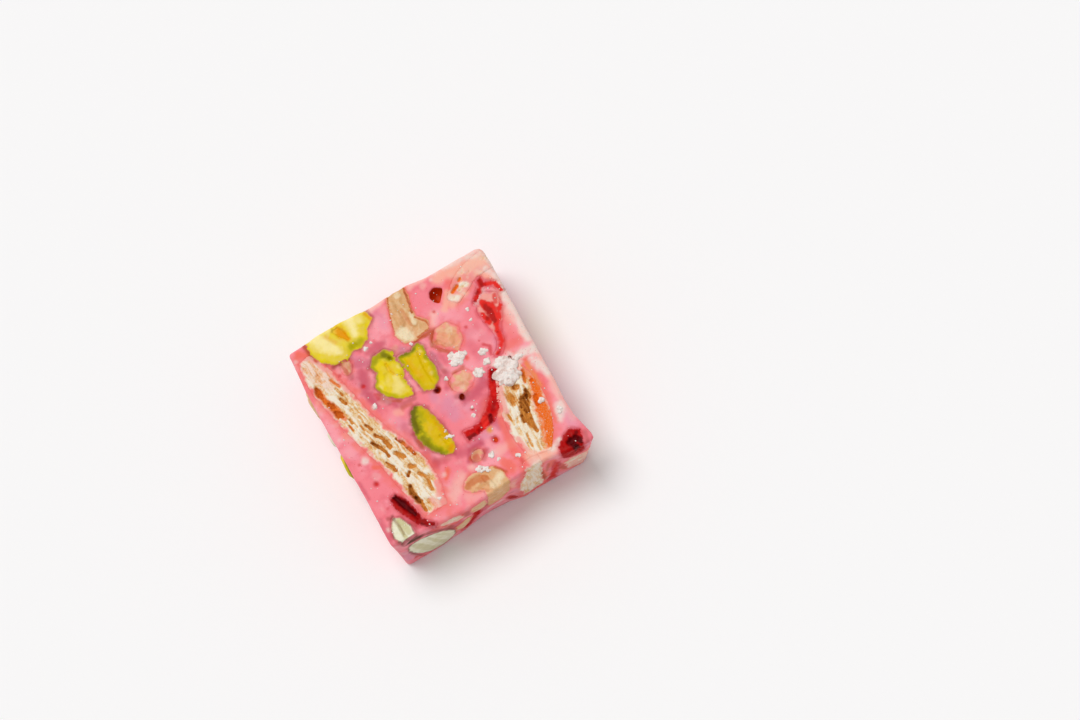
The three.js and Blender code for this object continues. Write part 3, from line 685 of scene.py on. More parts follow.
def makeNougat(material):
    look = nougatLook
    piece = Piece("nougat", fineness["nougat"])
    trees = {family: treeOf(names) for family, names in families.items() if family != "nougat"}
    near = {family: piece.distance(tree) for family, tree in trees.items()}
    tintNougat(piece, near)
    hollow = np.zeros(len(piece.points))
    spots = []
    for x, y, radius, depth in look["pits"]:
        spots.append((onBlock(x, y), radius, depth, 0.2))
    draw = np.random.default_rng(8)
    clear = np.minimum(near["biscuit"], near["pistachio"]) > 1
    free = np.flatnonzero(clear & ~piece.buried & (piece.points[:, 2] < blockTop - 2))
    for i in draw.choice(free, look["strayPits"], replace=False):
        radius = draw.uniform(0.25, 0.8)
        spots.append((piece.points[i].copy(), radius, radius * draw.uniform(0.5, 1.0), 0.8))
    piece.ease(2, piece.shown * (np.min(list(near.values()), axis=0) > 1.0))
    dig(piece, spots, hollow)
    inner = abs(piece.points - onBlock(0, 0, blockTop / 2)) < look["core"]  # the walls of open bubbles
    hollow = np.maximum(hollow, inner.all(1) * piece.shown)
    hollow = np.maximum(hollow, piece.mean(hollow) * 0.9)
    piece.store(hollow=hollow)
    relief = look["swell"] * ripple(piece.points, 2.3, 50) + 0.02 * ripple(piece.points, 0.8, 51)
    piece.sink(-relief * smoothStep(0.1, 0.8, piece.points[:, 2]))
    piece.write(material, "nougat")
    print("nougat ready:", len(piece.points), "points")


def fitted(node, fine="filling"):
    # a filling pressed into its pocket, and how far each point of its face lies inside the rim
    piece = Piece(node, fineness[fine])
    rim = piece.rim()
    piece.tuck()
    return piece, rim


def nearTop(points, depth=4):
    return smoothStep(blockTop - depth, blockTop - 2, points[:, 2])


def masksOf(piece, marks, names, brush, shown, axes=(0, 1)):
    # a mask for each name; the brush is how soft, how uneven and how coarse it is, and its seed
    masks = {name: painted(piece.points, marks.get(name, ()), *brush, axes) for name in names}
    return {name: mask * shown for name, mask in masks.items()}


def veilOf(piece, rim, reach, haze=0.0, marks=(), clear=()):
    # the nougat that laps over a filling's edge, hazes all of it, or lies over it in marks
    lap = smoothStep(reach, 0.0, rim + 0.75 * reach * rough(piece.points, 0.7 + reach, 3, 60))
    cloud = haze * smoothStep(-0.7, 0.5, rough(piece.points, 2.0, 3, 61) + 0.5 * haze)
    veil = np.maximum(np.maximum(lap, cloud), painted(piece.points, marks, 0.6))
    return np.clip(veil * (1 - painted(piece.points, clear, 0.6)), 0, 1)


biscuitLook = {
    "pale": "f6ead6", "cream": "ebc48e", "tan": "d48a3a", "brown": "8a4a0c", "crust": "f06a00",
    "rust": "c05004",
    # which way its layers run, in degrees, and the pieces that show them on a wall
    "heading": {"left": -78, "right": -97, "corner": 22, "front": 84, "lip": 10, "crumb": 10, "back": 25},
    "upright": {"front", "lip", "crumb", "back"},
    # how far the nougat laps over its rim, and how much nougat hazes the rest
    "lap": {
        "left": 0.5, "right": 0.5, "corner": 0.5, "front": 0.35, "lip": 0.35, "crumb": 0.4, "back": 0.4,
    },
    "haze": {"corner": 0.82, "crumb": 0.3, "lip": 0.5, "front": 0.1, "back": 0.15},
    # how far its face stands up
    "raised": {"corner": 0.1},
    # how soft, how uneven and how coarse each kind of mark is, and its seed
    "brushes": {
        "hollows": (0.45, 0.3, 0.6, 85), "flakes": (0.7, 0.5, 0.8, 86), "crusts": (0.5, 0.35, 1.0, 87),
    },
    # one flake's length and thickness, and how far it bends
    "flake": (3.4, 0.5, 0.45),
    # hollows torn between the flakes, browned with their depth, which is partly painted shade: depth in
    # millimetres, then the knots of a line
    "hollows": {
        "left": [
            (0.7, (-21.0, 14.1, 0.3), (-20.9, 12.9, 0.8), (-20.7, 11.6, 0.35)),
            (0.9, (-20.1, 9.9, 0.4), (-19.7, 8.9, 0.6)),
            (0.9, (-19.6, 7.5, 0.5), (-19.2, 6.6, 0.7), (-18.8, 5.9, 0.3)),
            (0.4, (-20.5, 11.0, 0.5), (-19.4, 7.4, 0.8)), (0.7, (-17.5, 9.5, 0.3), (-17.0, 8.1, 0.35)),
            (0.3, (-17.5, 14.2, 0.2), (-16.4, 12.0, 0.3)), (0.35, (-17.3, 11.9, 0.3), (-16.8, 10.1, 0.25)),
            (0.3, (-19.5, 16.1, 0.5), (-19.2, 14.5, 0.3)), (0.35, (-18.5, 3.5, 0.25), (-18.3, 2.3, 0.25)),
            (0.4, (-17.8, 4.7, 0.25), (-17.7, 3.7, 0.3)), (0.9, (-15.5, 2.0, 0.25), (-14.9, 0.6, 0.32)),
            (0.3, (-16.5, 2.2, 0.3), (-16.2, 1.1, 0.25)),
            (0.9, (-16.2, -2.0, 0.3), (-15.0, -3.9, 0.35), (-14.5, -5.5, 0.25), (-14.4, -6.2, 0.35)),
            (0.6, (-14.8, -0.9, 0.35), (-13.9, -2.2, 0.35), (-13.3, -4.7, 0.45)),
            (0.8, (-11.4, -3.8, 0.3), (-10.6, -5.0, 0.35), (-9.9, -7.2, 0.38), (-9.6, -8.4, 0.3)),
            (0.8, (-15.5, -7.1, 0.2), (-14.9, -8.3, 0.3), (-14.5, -9.5, 0.35)),
            (0.8, (-12.9, -11.8, 0.32), (-12.3, -11.2, 0.3)), (0.4, (-13.0, -6.3, 0.5), (-11.7, -7.8, 0.5)),
            (0.35, (-11.6, -10.2, 0.5), (-10.8, -10.6, 0.4)),
            (0.9, (-13.5, -13.8, 0.3), (-13.9, -15.4, 0.55), (-13.4, -17.4, 0.6), (-13.2, -19.9, 0.45)),
            (1.7, (-13.7, -16.2, 0.35), (-13.4, -17.6, 0.45)),
            (0.35, (-10.8, -12.4, 0.4), (-9.6, -14.0, 0.4), (-9.9, -16.8, 0.3)),
            (0.25, (-11.6, -18.6, 0.6)),
        ],
        "right": [
            (1.2, (16.0, -9.2, 0.5), (15.2, -9.9, 0.95), (14.8, -11.0, 1.0), (14.6, -12.2, 0.6)),
            (0.5, (14.2, -11.6, 1.0), (13.9, -13.4, 1.1), (14.3, -15.0, 0.7), (14.4, -17.0, 0.4)),
            (1.2, (13.2, -12.6, 0.35), (13.1, -13.9, 0.4)), (0.22, (12.6, -7.4, 0.9), (12.9, -9.6, 0.7)),
            (0.9, (16.4, -8.3, 0.3), (16.5, -10.0, 0.35)), (0.8, (14.5, -14.0, 0.3), (14.4, -17.1, 0.3)),
            (0.5, (13.3, -8.4, 0.5), (12.8, -9.4, 0.4)), (0.5, (15.2, -6.9, 0.6), (14.4, -6.6, 0.4)),
            (0.6, (17.7, -4.5, 0.3), (17.1, -6.9, 0.28)), (0.5, (18.4, -7.2, 0.4)),
            (0.3, (10.7, -10.8, 0.3), (10.9, -12.6, 0.25)), (0.3, (12.2, -16.6, 0.25), (12.0, -19.4, 0.25)),
            (0.5, (17.5, -10.6, 0.5), (17.1, -12.2, 0.5)),
        ],
        "corner": [
            (0.35, (13.4, 17.5, 0.45), (14.6, 18.1, 0.5)), (0.25, (15.5, 18.9, 0.3), (15.9, 19.2, 0.3)),
        ],
    },
    # flakes that stand whole and pale
    "flakes": {
        "left": [
            (1.0, (-18.4, 14.0, 0.5), (-18.0, 12.0, 0.5), (-18.3, 10.0, 0.5), (-18.0, 7.8, 0.4),
             (-17.3, 5.9, 0.45), (-16.8, 4.0, 0.5)),
            (1.0, (-20.8, 16.0, 0.8), (-21.4, 14.6, 0.4)), (0.8, (-16.0, 8.2, 0.6)),
            (0.8, (-16.4, 4.6, 0.5)), (1.0, (-17.7, 2.0, 0.5), (-18.2, 0.2, 0.6), (-17.8, -0.8, 0.5)),
            (0.8, (-16.7, -3.6, 0.3), (-15.8, -6.0, 0.4)), (0.9, (-14.7, -1.8, 0.3), (-14.2, -3.5, 0.35)),
            (1.0, (-14.2, -7.4, 0.6), (-12.9, -9.0, 0.5)), (0.9, (-12.9, -5.7, 0.5)),
            (1.0, (-14.9, -10.3, 0.5), (-14.8, -12.6, 0.5)), (0.8, (-11.8, -8.7, 0.5)),
            (1.0, (-12.7, -12.9, 0.8), (-11.5, -14.4, 0.7), (-12.0, -17.2, 0.6)), (0.8, (-9.0, -12.6, 0.6)),
        ],
        "right": [
            (1.0, (16.4, -6.0, 0.5), (16.9, -8.0, 0.3)), (0.9, (14.5, -8.2, 0.4)),
            (1.0, (12.0, -8.8, 0.4), (12.0, -12.0, 0.5)),
            (1.0, (11.8, -14.0, 0.5), (12.8, -16.2, 0.8), (12.6, -18.6, 0.7), (12.3, -20.4, 0.5)),
            (0.8, (10.8, -15.0, 0.5), (10.8, -19.0, 0.5)), (0.9, (15.7, -11.8, 0.3), (15.4, -15.6, 0.3)),
            (0.9, (14.0, -18.2, 0.5)), (0.8, (12.2, -5.6, 0.5)),
        ],
        "corner": [
            (1.0, (15.5, 17.9, 0.7), (16.5, 17.4, 0.6)), (0.9, (13.6, 15.9, 0.6), (12.4, 16.3, 0.5)),
        ],
    },
    # where the nougat lies thin over it
    "veils": {
        "left": [
            (0.7, (-18.8, 20.6, 1.2), (-17.4, 18.2, 1.2), (-16.3, 15.6, 1.2), (-15.5, 12.6, 1.0),
             (-14.9, 9.6, 0.8)),
            (0.2, (-19.6, 18.4, 2.4), (-18.2, 14.0, 2.0)),
            (0.8, (-8.4, -15.8, 0.6), (-8.6, -18.2, 1.2), (-9.0, -20.8, 1.4)),
            (0.5, (-11.0, -18.6, 0.7), (-10.6, -20.8, 0.8)), (0.5, (-20.0, 2.8, 0.7), (-19.0, -0.8, 0.5)),
            (0.6, (-14.4, 8.0, 0.7), (-13.4, 4.6, 0.8), (-12.4, 0.6, 0.6)),
            (0.45, (-21.9, 9.8, 0.5), (-20.6, 5.4, 0.5)), (0.5, (-8.2, -9.8, 0.4), (-7.8, -14.0, 0.6)),
        ],
        "right": [
            (0.6, (12.0, -5.4, 0.9), (11.2, -8.0, 0.8), (10.8, -10.4, 0.6)),
            (0.6, (10.2, -16.6, 0.6), (10.6, -20.0, 0.7), (12.0, -22.4, 1.2), (14.2, -22.6, 1.0)),
            (0.35, (10.2, -9.4, 0.5), (10.0, -13.0, 0.5)),
        ],
        "front": [(1.0, (7.6, -21.6, 1.3), (12.6, -21.8, 1.3))],
    },
    # where it is baked orange
    "crusts": {
        "left": [
            (0.8, (-21.0, 14.0, 0.4), (-20.9, 12.8, 0.9), (-20.4, 10.8, 0.6), (-19.8, 9.2, 0.9),
             (-19.3, 6.8, 0.9), (-18.6, 5.2, 0.4)),
            (0.6, (-17.4, 14.0, 0.35), (-16.4, 12.0, 0.35)), (0.5, (-18.4, 3.0, 0.4)),
            (0.45, (-10.6, -5.2, 0.5), (-9.6, -8.4, 0.4)),
        ],
        "right": [
            (0.8, (18.4, -3.6, 0.8), (18.3, -5.4, 1.0)),
            (1.0, (18.7, -7.6, 1.2), (18.1, -10.4, 1.5), (17.4, -13.0, 1.5)),
            (1.0, (17.4, -13.0, 1.5), (17.4, -15.6, 1.8), (16.8, -18.0, 1.8), (15.4, -20.6, 1.3)),
            (0.5, (17.6, -4.6, 0.4), (17.0, -7.0, 0.4)), (0.4, (14.8, -19.2, 0.6)),
        ],
        "corner": [
            (1.0, (13.3, 17.4, 0.5), (14.7, 18.1, 0.5)), (0.9, (15.5, 18.9, 0.35), (16.0, 19.2, 0.35)),
        ],
    },
}


def biscuitMaterial():
    recipe = Recipe("biscuitFlaky")
    look = paints(biscuitLook)
    crumb = recipe.clouds(0.3, 3.0, seed=3.0)
    depth = (recipe.read("recess") + (crumb - 0.5) * 0.4).clamped()
    # the deeper the hollow, the browner it is painted: partly the biscuit's toasted colour, partly painted
    # shade in the recesses; the crust turns rust with depth the same way
    body = recipe.mix(depth.between(0.1, 0.36), look["pale"], look["cream"])
    body = recipe.mix(depth.between(0.28, 0.52), body, look["tan"])
    body = recipe.mix(depth.between(0.55, 0.95), body, look["brown"])
    crust = recipe.read("crust") * (crumb.between(0.3, 0.6) * 0.15 + 0.85)
    body = recipe.mix(crust, body, recipe.mix(depth.between(0.35, 0.75), look["crust"], look["rust"]))
    body = recipe.lay(body, "veil", nougatBody(recipe))
    grain = crumb * 0.7 + recipe.clouds(0.14, 2.0) * 0.3
    return recipe.surface(
        Base_Color=body,
        Roughness=0.85,
        IOR=1.45,
        Specular_IOR_Level=0.2,
        Subsurface_Weight=0.08,
        Subsurface_Radius=(1.0, 0.6, 0.35),
        Subsurface_Scale=0.5 * mm,
        Normal=recipe.bump(grain, 0.12, 0.8),
    )


def makeBiscuit(node, material):
    look = biscuitLook
    piece, rim = fitted(node, "biscuit")
    kind = piece.kind
    points = piece.points
    turn = math.radians(look["heading"][kind])
    lie, stand = np.array([math.cos(turn), math.sin(turn), 0]), np.array([0, 0, 1.0])
    if kind in look["upright"]:
        lie, stand = np.array([math.cos(turn), 0, math.sin(turn)]), np.array([0, 1.0, 0])
    length, thickness, bend = look["flake"]
    across = points @ np.cross(stand, lie) + bend * rough(points, 3.6, 2, 80)
    grid = np.stack([points @ lie / length, across / thickness, points @ stand / length], 1)
    layers = ripple(grid, 1.0, 81) + 0.5 * ripple(grid * (2.3, 1.9, 2.3), 1.0, 83)
    crumbs = rough(points, 0.6, 2, 84)
    depth = 0.16 - 0.32 * layers - 0.12 * crumbs
    top = nearTop(points, 5)
    hollows, flakes, crust = (
        painted(points, look[name].get(kind, ()), *brush) * top for name, brush in look["brushes"].items()
    )
    depth = depth * (1 - 0.7 * flakes) * (1 - 0.6 * crust) + hollows * (1 - 0.2 * layers)
    depth = np.clip(depth, 0, None) * (0.6 if kind in look["upright"] else 1)
    lap, haze = look["lap"][kind], look["haze"].get(kind, 0)
    bare = look["crusts"].get(kind, [])
    bare = bare + look["flakes"].get(kind, []) if haze else bare
    veil = veilOf(piece, rim, lap, haze, look["veils"].get(kind, ()), bare)
    fade = smoothStep(0.0, 0.3, rim) * np.clip(1 - 1.15 * veil, 0, 1)
    piece.store(recess=np.sqrt(depth * fade / 2.2), crust=crust, veil=veil)
    tintFilling(piece)
    piece.sink(depth * fade - look["raised"].get(kind, 0) * smoothStep(-1.0, 1.0, rim))
    piece.write(material, "biscuit")


pistachioLook = {
    "yellow": "ecd208", "gold": "dfb800", "lime": "b8ae00", "green": "6c6400", "orange": "e89c00",
    "pale": "ffeca0",
    # its greener side as a heading, then how gold, how pale and how green-rimmed it is
    "cast": {
        "back": (-90, 0.1, 0.3, 0.15), "middle_left": (150, 0.2, 0.12, 0.45),
        "middle_right": (70, 0.75, 0.0, 0.45), "oblong": (165, 0.95, 0.0, 0.45),
        "right": (60, 0.3, 0.2, 0.5), "under": (200, 0.2, 0.4, 0.4),
    },
    "usualCast": (120, 0.4, 0.2, 0.5),
    # how soft, how uneven and how coarse its marks are, and their seed
    "brush": (0.9, 0.3, 1.0, 105),
    "hollowBrush": (0.4, 0.2, 0.8, 106),
    # where its foot is round: the middle and the half breadth of it, and its depth
    "foot": {"back": (-11.0, 7.4, 5.4)},
    "marks": {
        "back": {
            "green": [
                (0.45, (-10.6, 17.8, 1.2), (-8.2, 18.0, 1.2)),
                (0.3, (-18.6, 22.0, 0.4), (-18.0, 19.0, 0.4)),
            ],
            "orange": [
                (1.0, (-11.2, 22.4, 1.2), (-10.7, 21.2, 1.0), (-10.1, 19.8, 0.5)),
                (0.4, (-14.0, 22.6, 0.5), (-12.8, 20.4, 0.5)), (0.7, (-4.7, 22.8, 0.4), (-4.1, 21.2, 0.4)),
            ],
            "pale": [
                (1.0, (-16.0, 23.6, 2.2), (-14.8, 20.8, 1.8), (-13.2, 18.6, 1.1)),
                (1.0, (-8.0, 23.6, 1.6), (-8.3, 20.0, 0.9)), (0.7, (-6.4, 22.4, 1.3)),
                (0.7, (-13.0, 23.8, 1.0)),
            ],
            "hollow": [
                (0.5, (-11.6, 22.8, 0.8), (-10.8, 21.4, 0.8), (-10.2, 20.0, 0.35)),
                (0.25, (-10.2, 20.0, 0.4), (-9.6, 17.8, 0.5)),
            ],
        },
        "middle_left": {
            "green": [
                (0.85, (-5.4, 13.3, 1.1), (-4.5, 11.9, 0.9)), (0.55, (-8.4, 12.6, 1.0), (-6.4, 13.4, 1.2)),
                (0.5, (-8.6, 12.2, 0.5), (-8.4, 10.4, 0.5)), (0.4, (-9.4, 6.4, 0.4), (-7.0, 3.8, 0.4)),
            ],
            "orange": [(0.35, (-5.8, 11.2, 0.5), (-5.4, 8.6, 0.5)), (0.35, (-5.0, 3.0, 0.5))],
            # these pale marks are painted highlights where light glints on the kernel
            "pale": [
                (0.6, (-5.4, 7.4, 0.9), (-5.4, 5.6, 1.6), (-6.6, 4.8, 1.1)), (0.6, (-9.4, 7.2, 0.8)),
                (0.8, (-3.5, 9.4, 0.6)), (0.3, (-7.2, 7.6, 1.2)),
            ],
            "hollow": [
                (0.28, (-5.9, 11.0, 0.22), (-6.0, 9.4, 0.2), (-5.3, 8.0, 0.2), (-4.2, 7.3, 0.2)),
                (0.3, (-4.6, 11.8, 0.3), (-3.4, 10.4, 0.22), (-3.0, 8.2, 0.25)),
                (0.15, (-7.0, 9.0, 0.4), (-7.6, 6.0, 0.5)),
            ],
        },
        "middle_right": {
            "green": [
                (0.85, (-3.0, 11.4, 0.9), (-0.8, 10.8, 0.8), (0.6, 11.0, 0.6)),
                (0.55, (1.6, 11.8, 1.0), (2.7, 10.4, 0.8)), (0.7, (2.2, 8.4, 0.6)),
                (0.45, (2.5, 6.4, 0.8), (2.2, 3.0, 0.9)), (0.4, (-2.4, 8.4, 0.4)),
            ],
            "orange": [(0.35, (-1.6, 9.0, 0.6), (-0.8, 5.0, 0.8))],
            # these pale marks are painted highlights where light glints on the kernel
            "pale": [(0.45, (1.6, 9.8, 0.45)), (0.4, (1.5, 7.4, 0.4)), (0.45, (1.6, 4.6, 0.5))],
            "hollow": [
                (0.22, (1.0, 10.0, 0.3), (0.8, 6.0, 0.4), (1.0, 3.0, 0.4)),
                (0.2, (-2.3, 10.4, 0.3), (-2.0, 4.0, 0.35)),
            ],
        },
        "oblong": {
            "green": [
                (1.0, (-5.4, 0.2, 1.5), (-6.6, -1.6, 1.6), (-6.9, -4.6, 1.4)),
                (0.8, (-6.7, -6.6, 1.4), (-5.9, -9.4, 1.3), (-4.6, -11.6, 1.2)), (0.25, (-3.0, -10.8, 0.8)),
                (0.45, (-4.8, -2.0, 2.0)), (0.4, (-3.8, -0.6, 0.9)),
            ],
            "orange": [
                (0.9, (-2.8, -1.6, 0.7), (-2.0, -4.8, 0.9), (-2.0, -8.0, 0.8)),
                (0.9, (-2.2, -11.0, 0.7), (-3.4, -12.0, 0.6), (-5.0, -11.8, 0.4)),
            ],
            "hollow": [(0.25, (-3.2, -8.0, 0.3), (-2.6, -9.8, 0.4))],
        },
    },
}


def pistachioMaterial():
    recipe = Recipe("pistachioCut")
    look = paints(pistachioLook)
    blotch = recipe.clouds(1.4, 3.0, seed=11.0)
    fine = recipe.clouds(0.35, 2.0, seed=12.0)
    body = recipe.lay(look["yellow"], "gold", look["gold"])
    # paleness lays the kernels' pale patches and, on the two middle kernels, painted highlights
    body = recipe.lay(body, "paleness", look["pale"], blotch, 0.5)
    body = recipe.lay(body, "orange", look["orange"], blotch, 0.3)
    green = (recipe.read("green") + (blotch - 0.5) * 0.2).clamped()
    body = recipe.mix(green.between(0.0, 0.6), body, look["lime"])
    body = recipe.mix(green.between(0.3, 1.1), body, look["green"])
    body = recipe.lay(body, "veil", nougatBody(recipe))
    return recipe.surface(
        Base_Color=body,
        Roughness=(0.34 + fine * 0.2).clamped(),
        IOR=1.47,
        Specular_IOR_Level=0.07,
        Subsurface_Weight=0.1,
        Subsurface_Radius=(0.9, 0.8, 0.1),
        Subsurface_Scale=0.6 * mm,
        Normal=recipe.bump(fine * 0.5 + recipe.clouds(0.8, 2.0) * 0.5, 0.09, 0.5),
    )


def makePistachio(node, material):
    look = pistachioLook
    piece, rim = fitted(node)
    points = piece.points
    greenSide, gold, pale, rind = look["cast"].get(piece.kind, look["usualCast"])
    low, high = points.min(0), points.max(0)
    half = (high - low) / 2
    plane = [axis for axis in range(3) if axis != np.argmin(half)]
    turn = math.radians(greenSide)
    side = ((points - low - half) / half)[:, plane] @ (math.cos(turn), math.sin(turn))
    marks = look["marks"].get(piece.kind, {})
    top = nearTop(points)
    masks = masksOf(piece, marks, ("green", "orange", "pale"), look["brush"], top)
    hollow = painted(points, marks.get("hollow", ()), *look["hollowBrush"]) * top
    edge = smoothStep(0.9, 0.0, rim + 0.3 * ripple(points, 1.3, 102))
    plain = 0.0 if marks else 0.45
    green = np.maximum(masks["green"], edge * (rind + 0.2 * side) + plain * smoothStep(0.1, 1.0, side))
    uneven = ripple(points, 1.8, 103)
    veil = veilOf(piece, rim, 0.14)
    if piece.kind in look["foot"]:
        middle, breadth, deep = look["foot"][piece.kind]
        drop = blockTop - points[:, 2]
        beyond = np.hypot((points[:, 0] - middle) / breadth, drop / deep)
        beyond += 0.12 * rough(points, 1.6, 2, 107)
        veil = np.maximum(veil, smoothStep(0.92, 1.0, beyond) * smoothStep(1.2, 2.2, drop))
    piece.store(
        gold=gold + 0.3 * uneven,
        paleness=np.maximum(masks["pale"], 0.5 * pale + 0.4 * pale * uneven) * (1 - edge),
        orange=np.maximum(masks["orange"], plain * 0.5 * smoothStep(0.2, 0.9, -side)),
        green=green,
        veil=veil,
    )
    tintFilling(piece)
    crown = 0.22 * smoothStep(0.0, 1.6, rim) - 0.04
    relief = 0.1 * ripple(points, 2.4, 100) + 0.03 * ripple(points, 0.7, 101)
    piece.sink((relief - crown + hollow) * smoothStep(0.0, 0.25, rim))
    piece.write(material, "pistachio")


walnutLook = {
    "tan": "dda970", "pale": "f2deb6", "peach": "eba678", "skin": "cc6a2c", "dark": "8f4419",
    # the nougat's lap and haze over it, how dark its rim is and how peach-coloured the rest
    "lap": {"middle": 0.7, "small": 0.8, "speck_left": 0.4, "speck_front": 0.4, "band": 0.25},
    "haze": {"middle": 0.25, "small": 0.35, "speck_left": 0.3, "speck_front": 0.4, "band": 0.15},
    "bark": {
        "middle": 0.0, "small": 0.0, "speck_left": 0.0, "speck_front": 0.0, "top": 0.3, "front": 0.2,
        "band": 0.2,
    },
    "peachy": {"middle": 0.9, "small": 0.45, "front": 0.35, "band": 0.3, "top": 0.15},
    "brush": (0.5, 0.25, 0.9, 115),
    "marks": {
        "top": {
            "skin": [
                (0.9, (1.0, 23.4, 0.2), (-0.4, 19.8, 0.2), (-1.3, 15.8, 0.18)),
                (1.0, (4.8, 23.4, 0.3), (4.4, 20.0, 0.35), (4.0, 18.0, 0.3)),
                (0.8, (4.0, 16.8, 0.2), (5.6, 14.8, 0.25), (5.8, 13.2, 0.3), (2.6, 12.7, 0.25)),
                (0.4, (2.3, 19.6, 0.5), (2.6, 15.6, 0.4)),
            ],
            "pale": [
                (1.0, (0.2, 15.0, 1.6), (1.2, 13.6, 1.0)), (0.8, (3.6, 18.0, 0.4), (3.4, 15.8, 0.6)),
                (0.7, (3.0, 22.8, 0.8)), (0.6, (1.6, 14.0, 0.8)),
            ],
            "ridge": [
                (0.3, (1.0, 22.0, 0.7), (0.9, 17.0, 0.8)), (0.25, (3.2, 18.4, 0.5), (3.4, 15.6, 0.6)),
            ],
        },
        "middle": {
            "skin": [(0.6, (4.9, 10.8, 0.5), (5.5, 8.8, 0.6), (6.8, 7.2, 0.5))],
            "pale": [(0.4, (8.8, 10.8, 0.9))],
            "ridge": [(0.2, (5.6, 11.2, 0.6), (8.0, 8.4, 0.9))],
        },
        "speck_left": {
            "skin": [(0.9, (-14.4, 15.6, 0.6), (-13.7, 13.4, 0.5)), (0.4, (-13.2, 14.8, 1.2))],
            "pale": [(0.4, (-13.0, 15.2, 0.6))],
        },
        "speck_front": {"skin": [(0.8, (0.9, -15.6, 1.0)), (0.5, (0.2, -16.4, 0.6))]},
        "small": {
            "skin": [(0.3, (3.6, 0.6, 0.3), (4.6, -2.0, 0.3))],
            "pale": [(0.6, (5.2, -1.4, 0.8)), (0.4, (5.0, 0.4, 0.6))],
        },
        "front": {
            "skin": [
                (0.55, (-3.4, -20.0, 0.9), (-1.0, -19.6, 1.1), (0.4, -20.4, 1.0)),
                (0.7, (3.2, -19.2, 0.35), (4.6, -20.8, 0.35)),
                (0.4, (-2.0, -21.2, 0.5), (-0.2, -22.8, 0.5)),
            ],
            "pale": [(0.7, (1.4, -22.4, 1.0), (3.4, -21.4, 1.0))],
            "ridge": [(0.3, (0.4, -20.0, 0.5), (1.2, -23.0, 0.6))],
        },
    },
}


def walnutMaterial():
    recipe = Recipe("walnutCut")
    look = paints(walnutLook)
    blotch = recipe.clouds(1.8, 3.0, seed=21.0)
    fine = recipe.clouds(0.3, 3.0, seed=22.0)
    body = recipe.lay(look["tan"], "peachy", look["peach"])
    body = recipe.lay(body, "paleness", look["pale"], blotch, 0.8)
    body = recipe.mix(fine.between(0.5, 0.78) * 0.3, body, look["skin"])
    skin = (recipe.read("skin") + (blotch - 0.5) * 0.35).clamped()
    body = recipe.mix(skin.between(0.15, 0.75), body, look["skin"])
    body = recipe.mix(skin.between(0.75, 1.1) * 0.7, body, look["dark"])
    body = recipe.lay(body, "veil", nougatBody(recipe))
    return recipe.surface(
        Base_Color=body,
        Roughness=(0.36 + fine * 0.2).clamped(),
        IOR=1.46,
        Specular_IOR_Level=0.3,
        Subsurface_Weight=0.1,
        Subsurface_Radius=(1.0, 0.6, 0.3),
        Subsurface_Scale=0.6 * mm,
        Normal=recipe.bump(fine * 0.6 + recipe.clouds(0.7, 2.0) * 0.4, 0.08, 0.55),
    )


def makeWalnut(node, material):
    look = walnutLook
    piece, rim = fitted(node)
    points = piece.points
    marks = look["marks"].get(piece.kind, {})
    masks = masksOf(piece, marks, ("skin", "pale", "ridge"), look["brush"], nearTop(points))
    bare = 0.0 if marks else 0.3
    edge = smoothStep(0.32, 0.04, rim + 0.16 * ripple(points, 1.0, 112))
    folds = abs(ripple(points, 2.6, 110)) + 0.4 * abs(ripple(points, 1.1, 113))
    piece.store(
        peachy=look["peachy"].get(piece.kind, 0.1) + 0.3 * ripple(points, 2.6, 116),
        paleness=np.maximum(masks["pale"], bare + 0.8 * (0.35 - folds)),
        skin=np.maximum(masks["skin"], look["bark"].get(piece.kind, 0.75) * edge),
        veil=veilOf(piece, rim, look["lap"].get(piece.kind, 0.12), look["haze"].get(piece.kind, 0)),
    )
    tintFilling(piece)
    depth = 0.3 * folds - 0.1 - masks["ridge"] + 0.03 * ripple(points, 0.6, 111)
    piece.sink(depth * smoothStep(0.0, 0.3, rim))
    piece.write(material, "walnut")


almondLook = {
    "cream": "e6e0be", "pale": "f1ecd2", "streak": "c4b878", "skin": "7c4122",
    "lap": {"top": 0.15, "front": 0.05},
    "brush": (0.4, 0.2, 0.8, 125),
    "marks": {
        "top": {
            "skin": [(0.5, (-19.7, -18.2, 0.2), (-19.3, -20.4, 0.22), (-19.3, -22.0, 0.15))],
            "streak": [
                (0.7, (-18.8, -19.0, 0.6), (-18.2, -22.0, 0.7)),
                (0.6, (-19.4, -20.0, 0.4), (-19.2, -23.0, 0.4)),
            ],
            "hollow": [(0.5, (-19.8, -17.8, 0.3), (-19.4, -20.0, 0.3), (-19.3, -22.4, 0.25))],
        },
        "front": {
            "streak": [
                (0.55, (-18.9, 11.0, 0.8), (-17.8, 7.6, 1.2), (-16.6, 3.6, 1.0)),
                (0.5, (-15.8, 11.0, 0.4), (-14.7, 6.6, 0.6), (-13.6, 2.4, 0.7)),
                (0.3, (-12.8, 9.0, 0.3), (-12.0, 4.6, 0.4)),
            ],
        },
    },
}


def almondMaterial():
    recipe = Recipe("almondCut")
    look = paints(almondLook)
    blotch = recipe.clouds(2.4, 2.0, seed=31.0)
    fine = recipe.clouds(0.35, 3.0, seed=32.0)
    body = recipe.mix(blotch.between(0.4, 0.65), look["cream"], look["pale"])
    body = recipe.lay(body, "streak", look["streak"], fine, 0.5)
    body = recipe.lay(body, "skin", look["skin"])
    body = recipe.lay(body, "veil", nougatBody(recipe))
    return recipe.surface(
        Base_Color=body,
        Roughness=(0.36 + fine * 0.2).clamped(),
        IOR=1.46,
        Specular_IOR_Level=0.3,
        Subsurface_Weight=0.1,
        Subsurface_Radius=(1.0, 0.8, 0.5),
        Subsurface_Scale=0.6 * mm,
        Normal=recipe.bump(fine, 0.06, 0.5),
    )


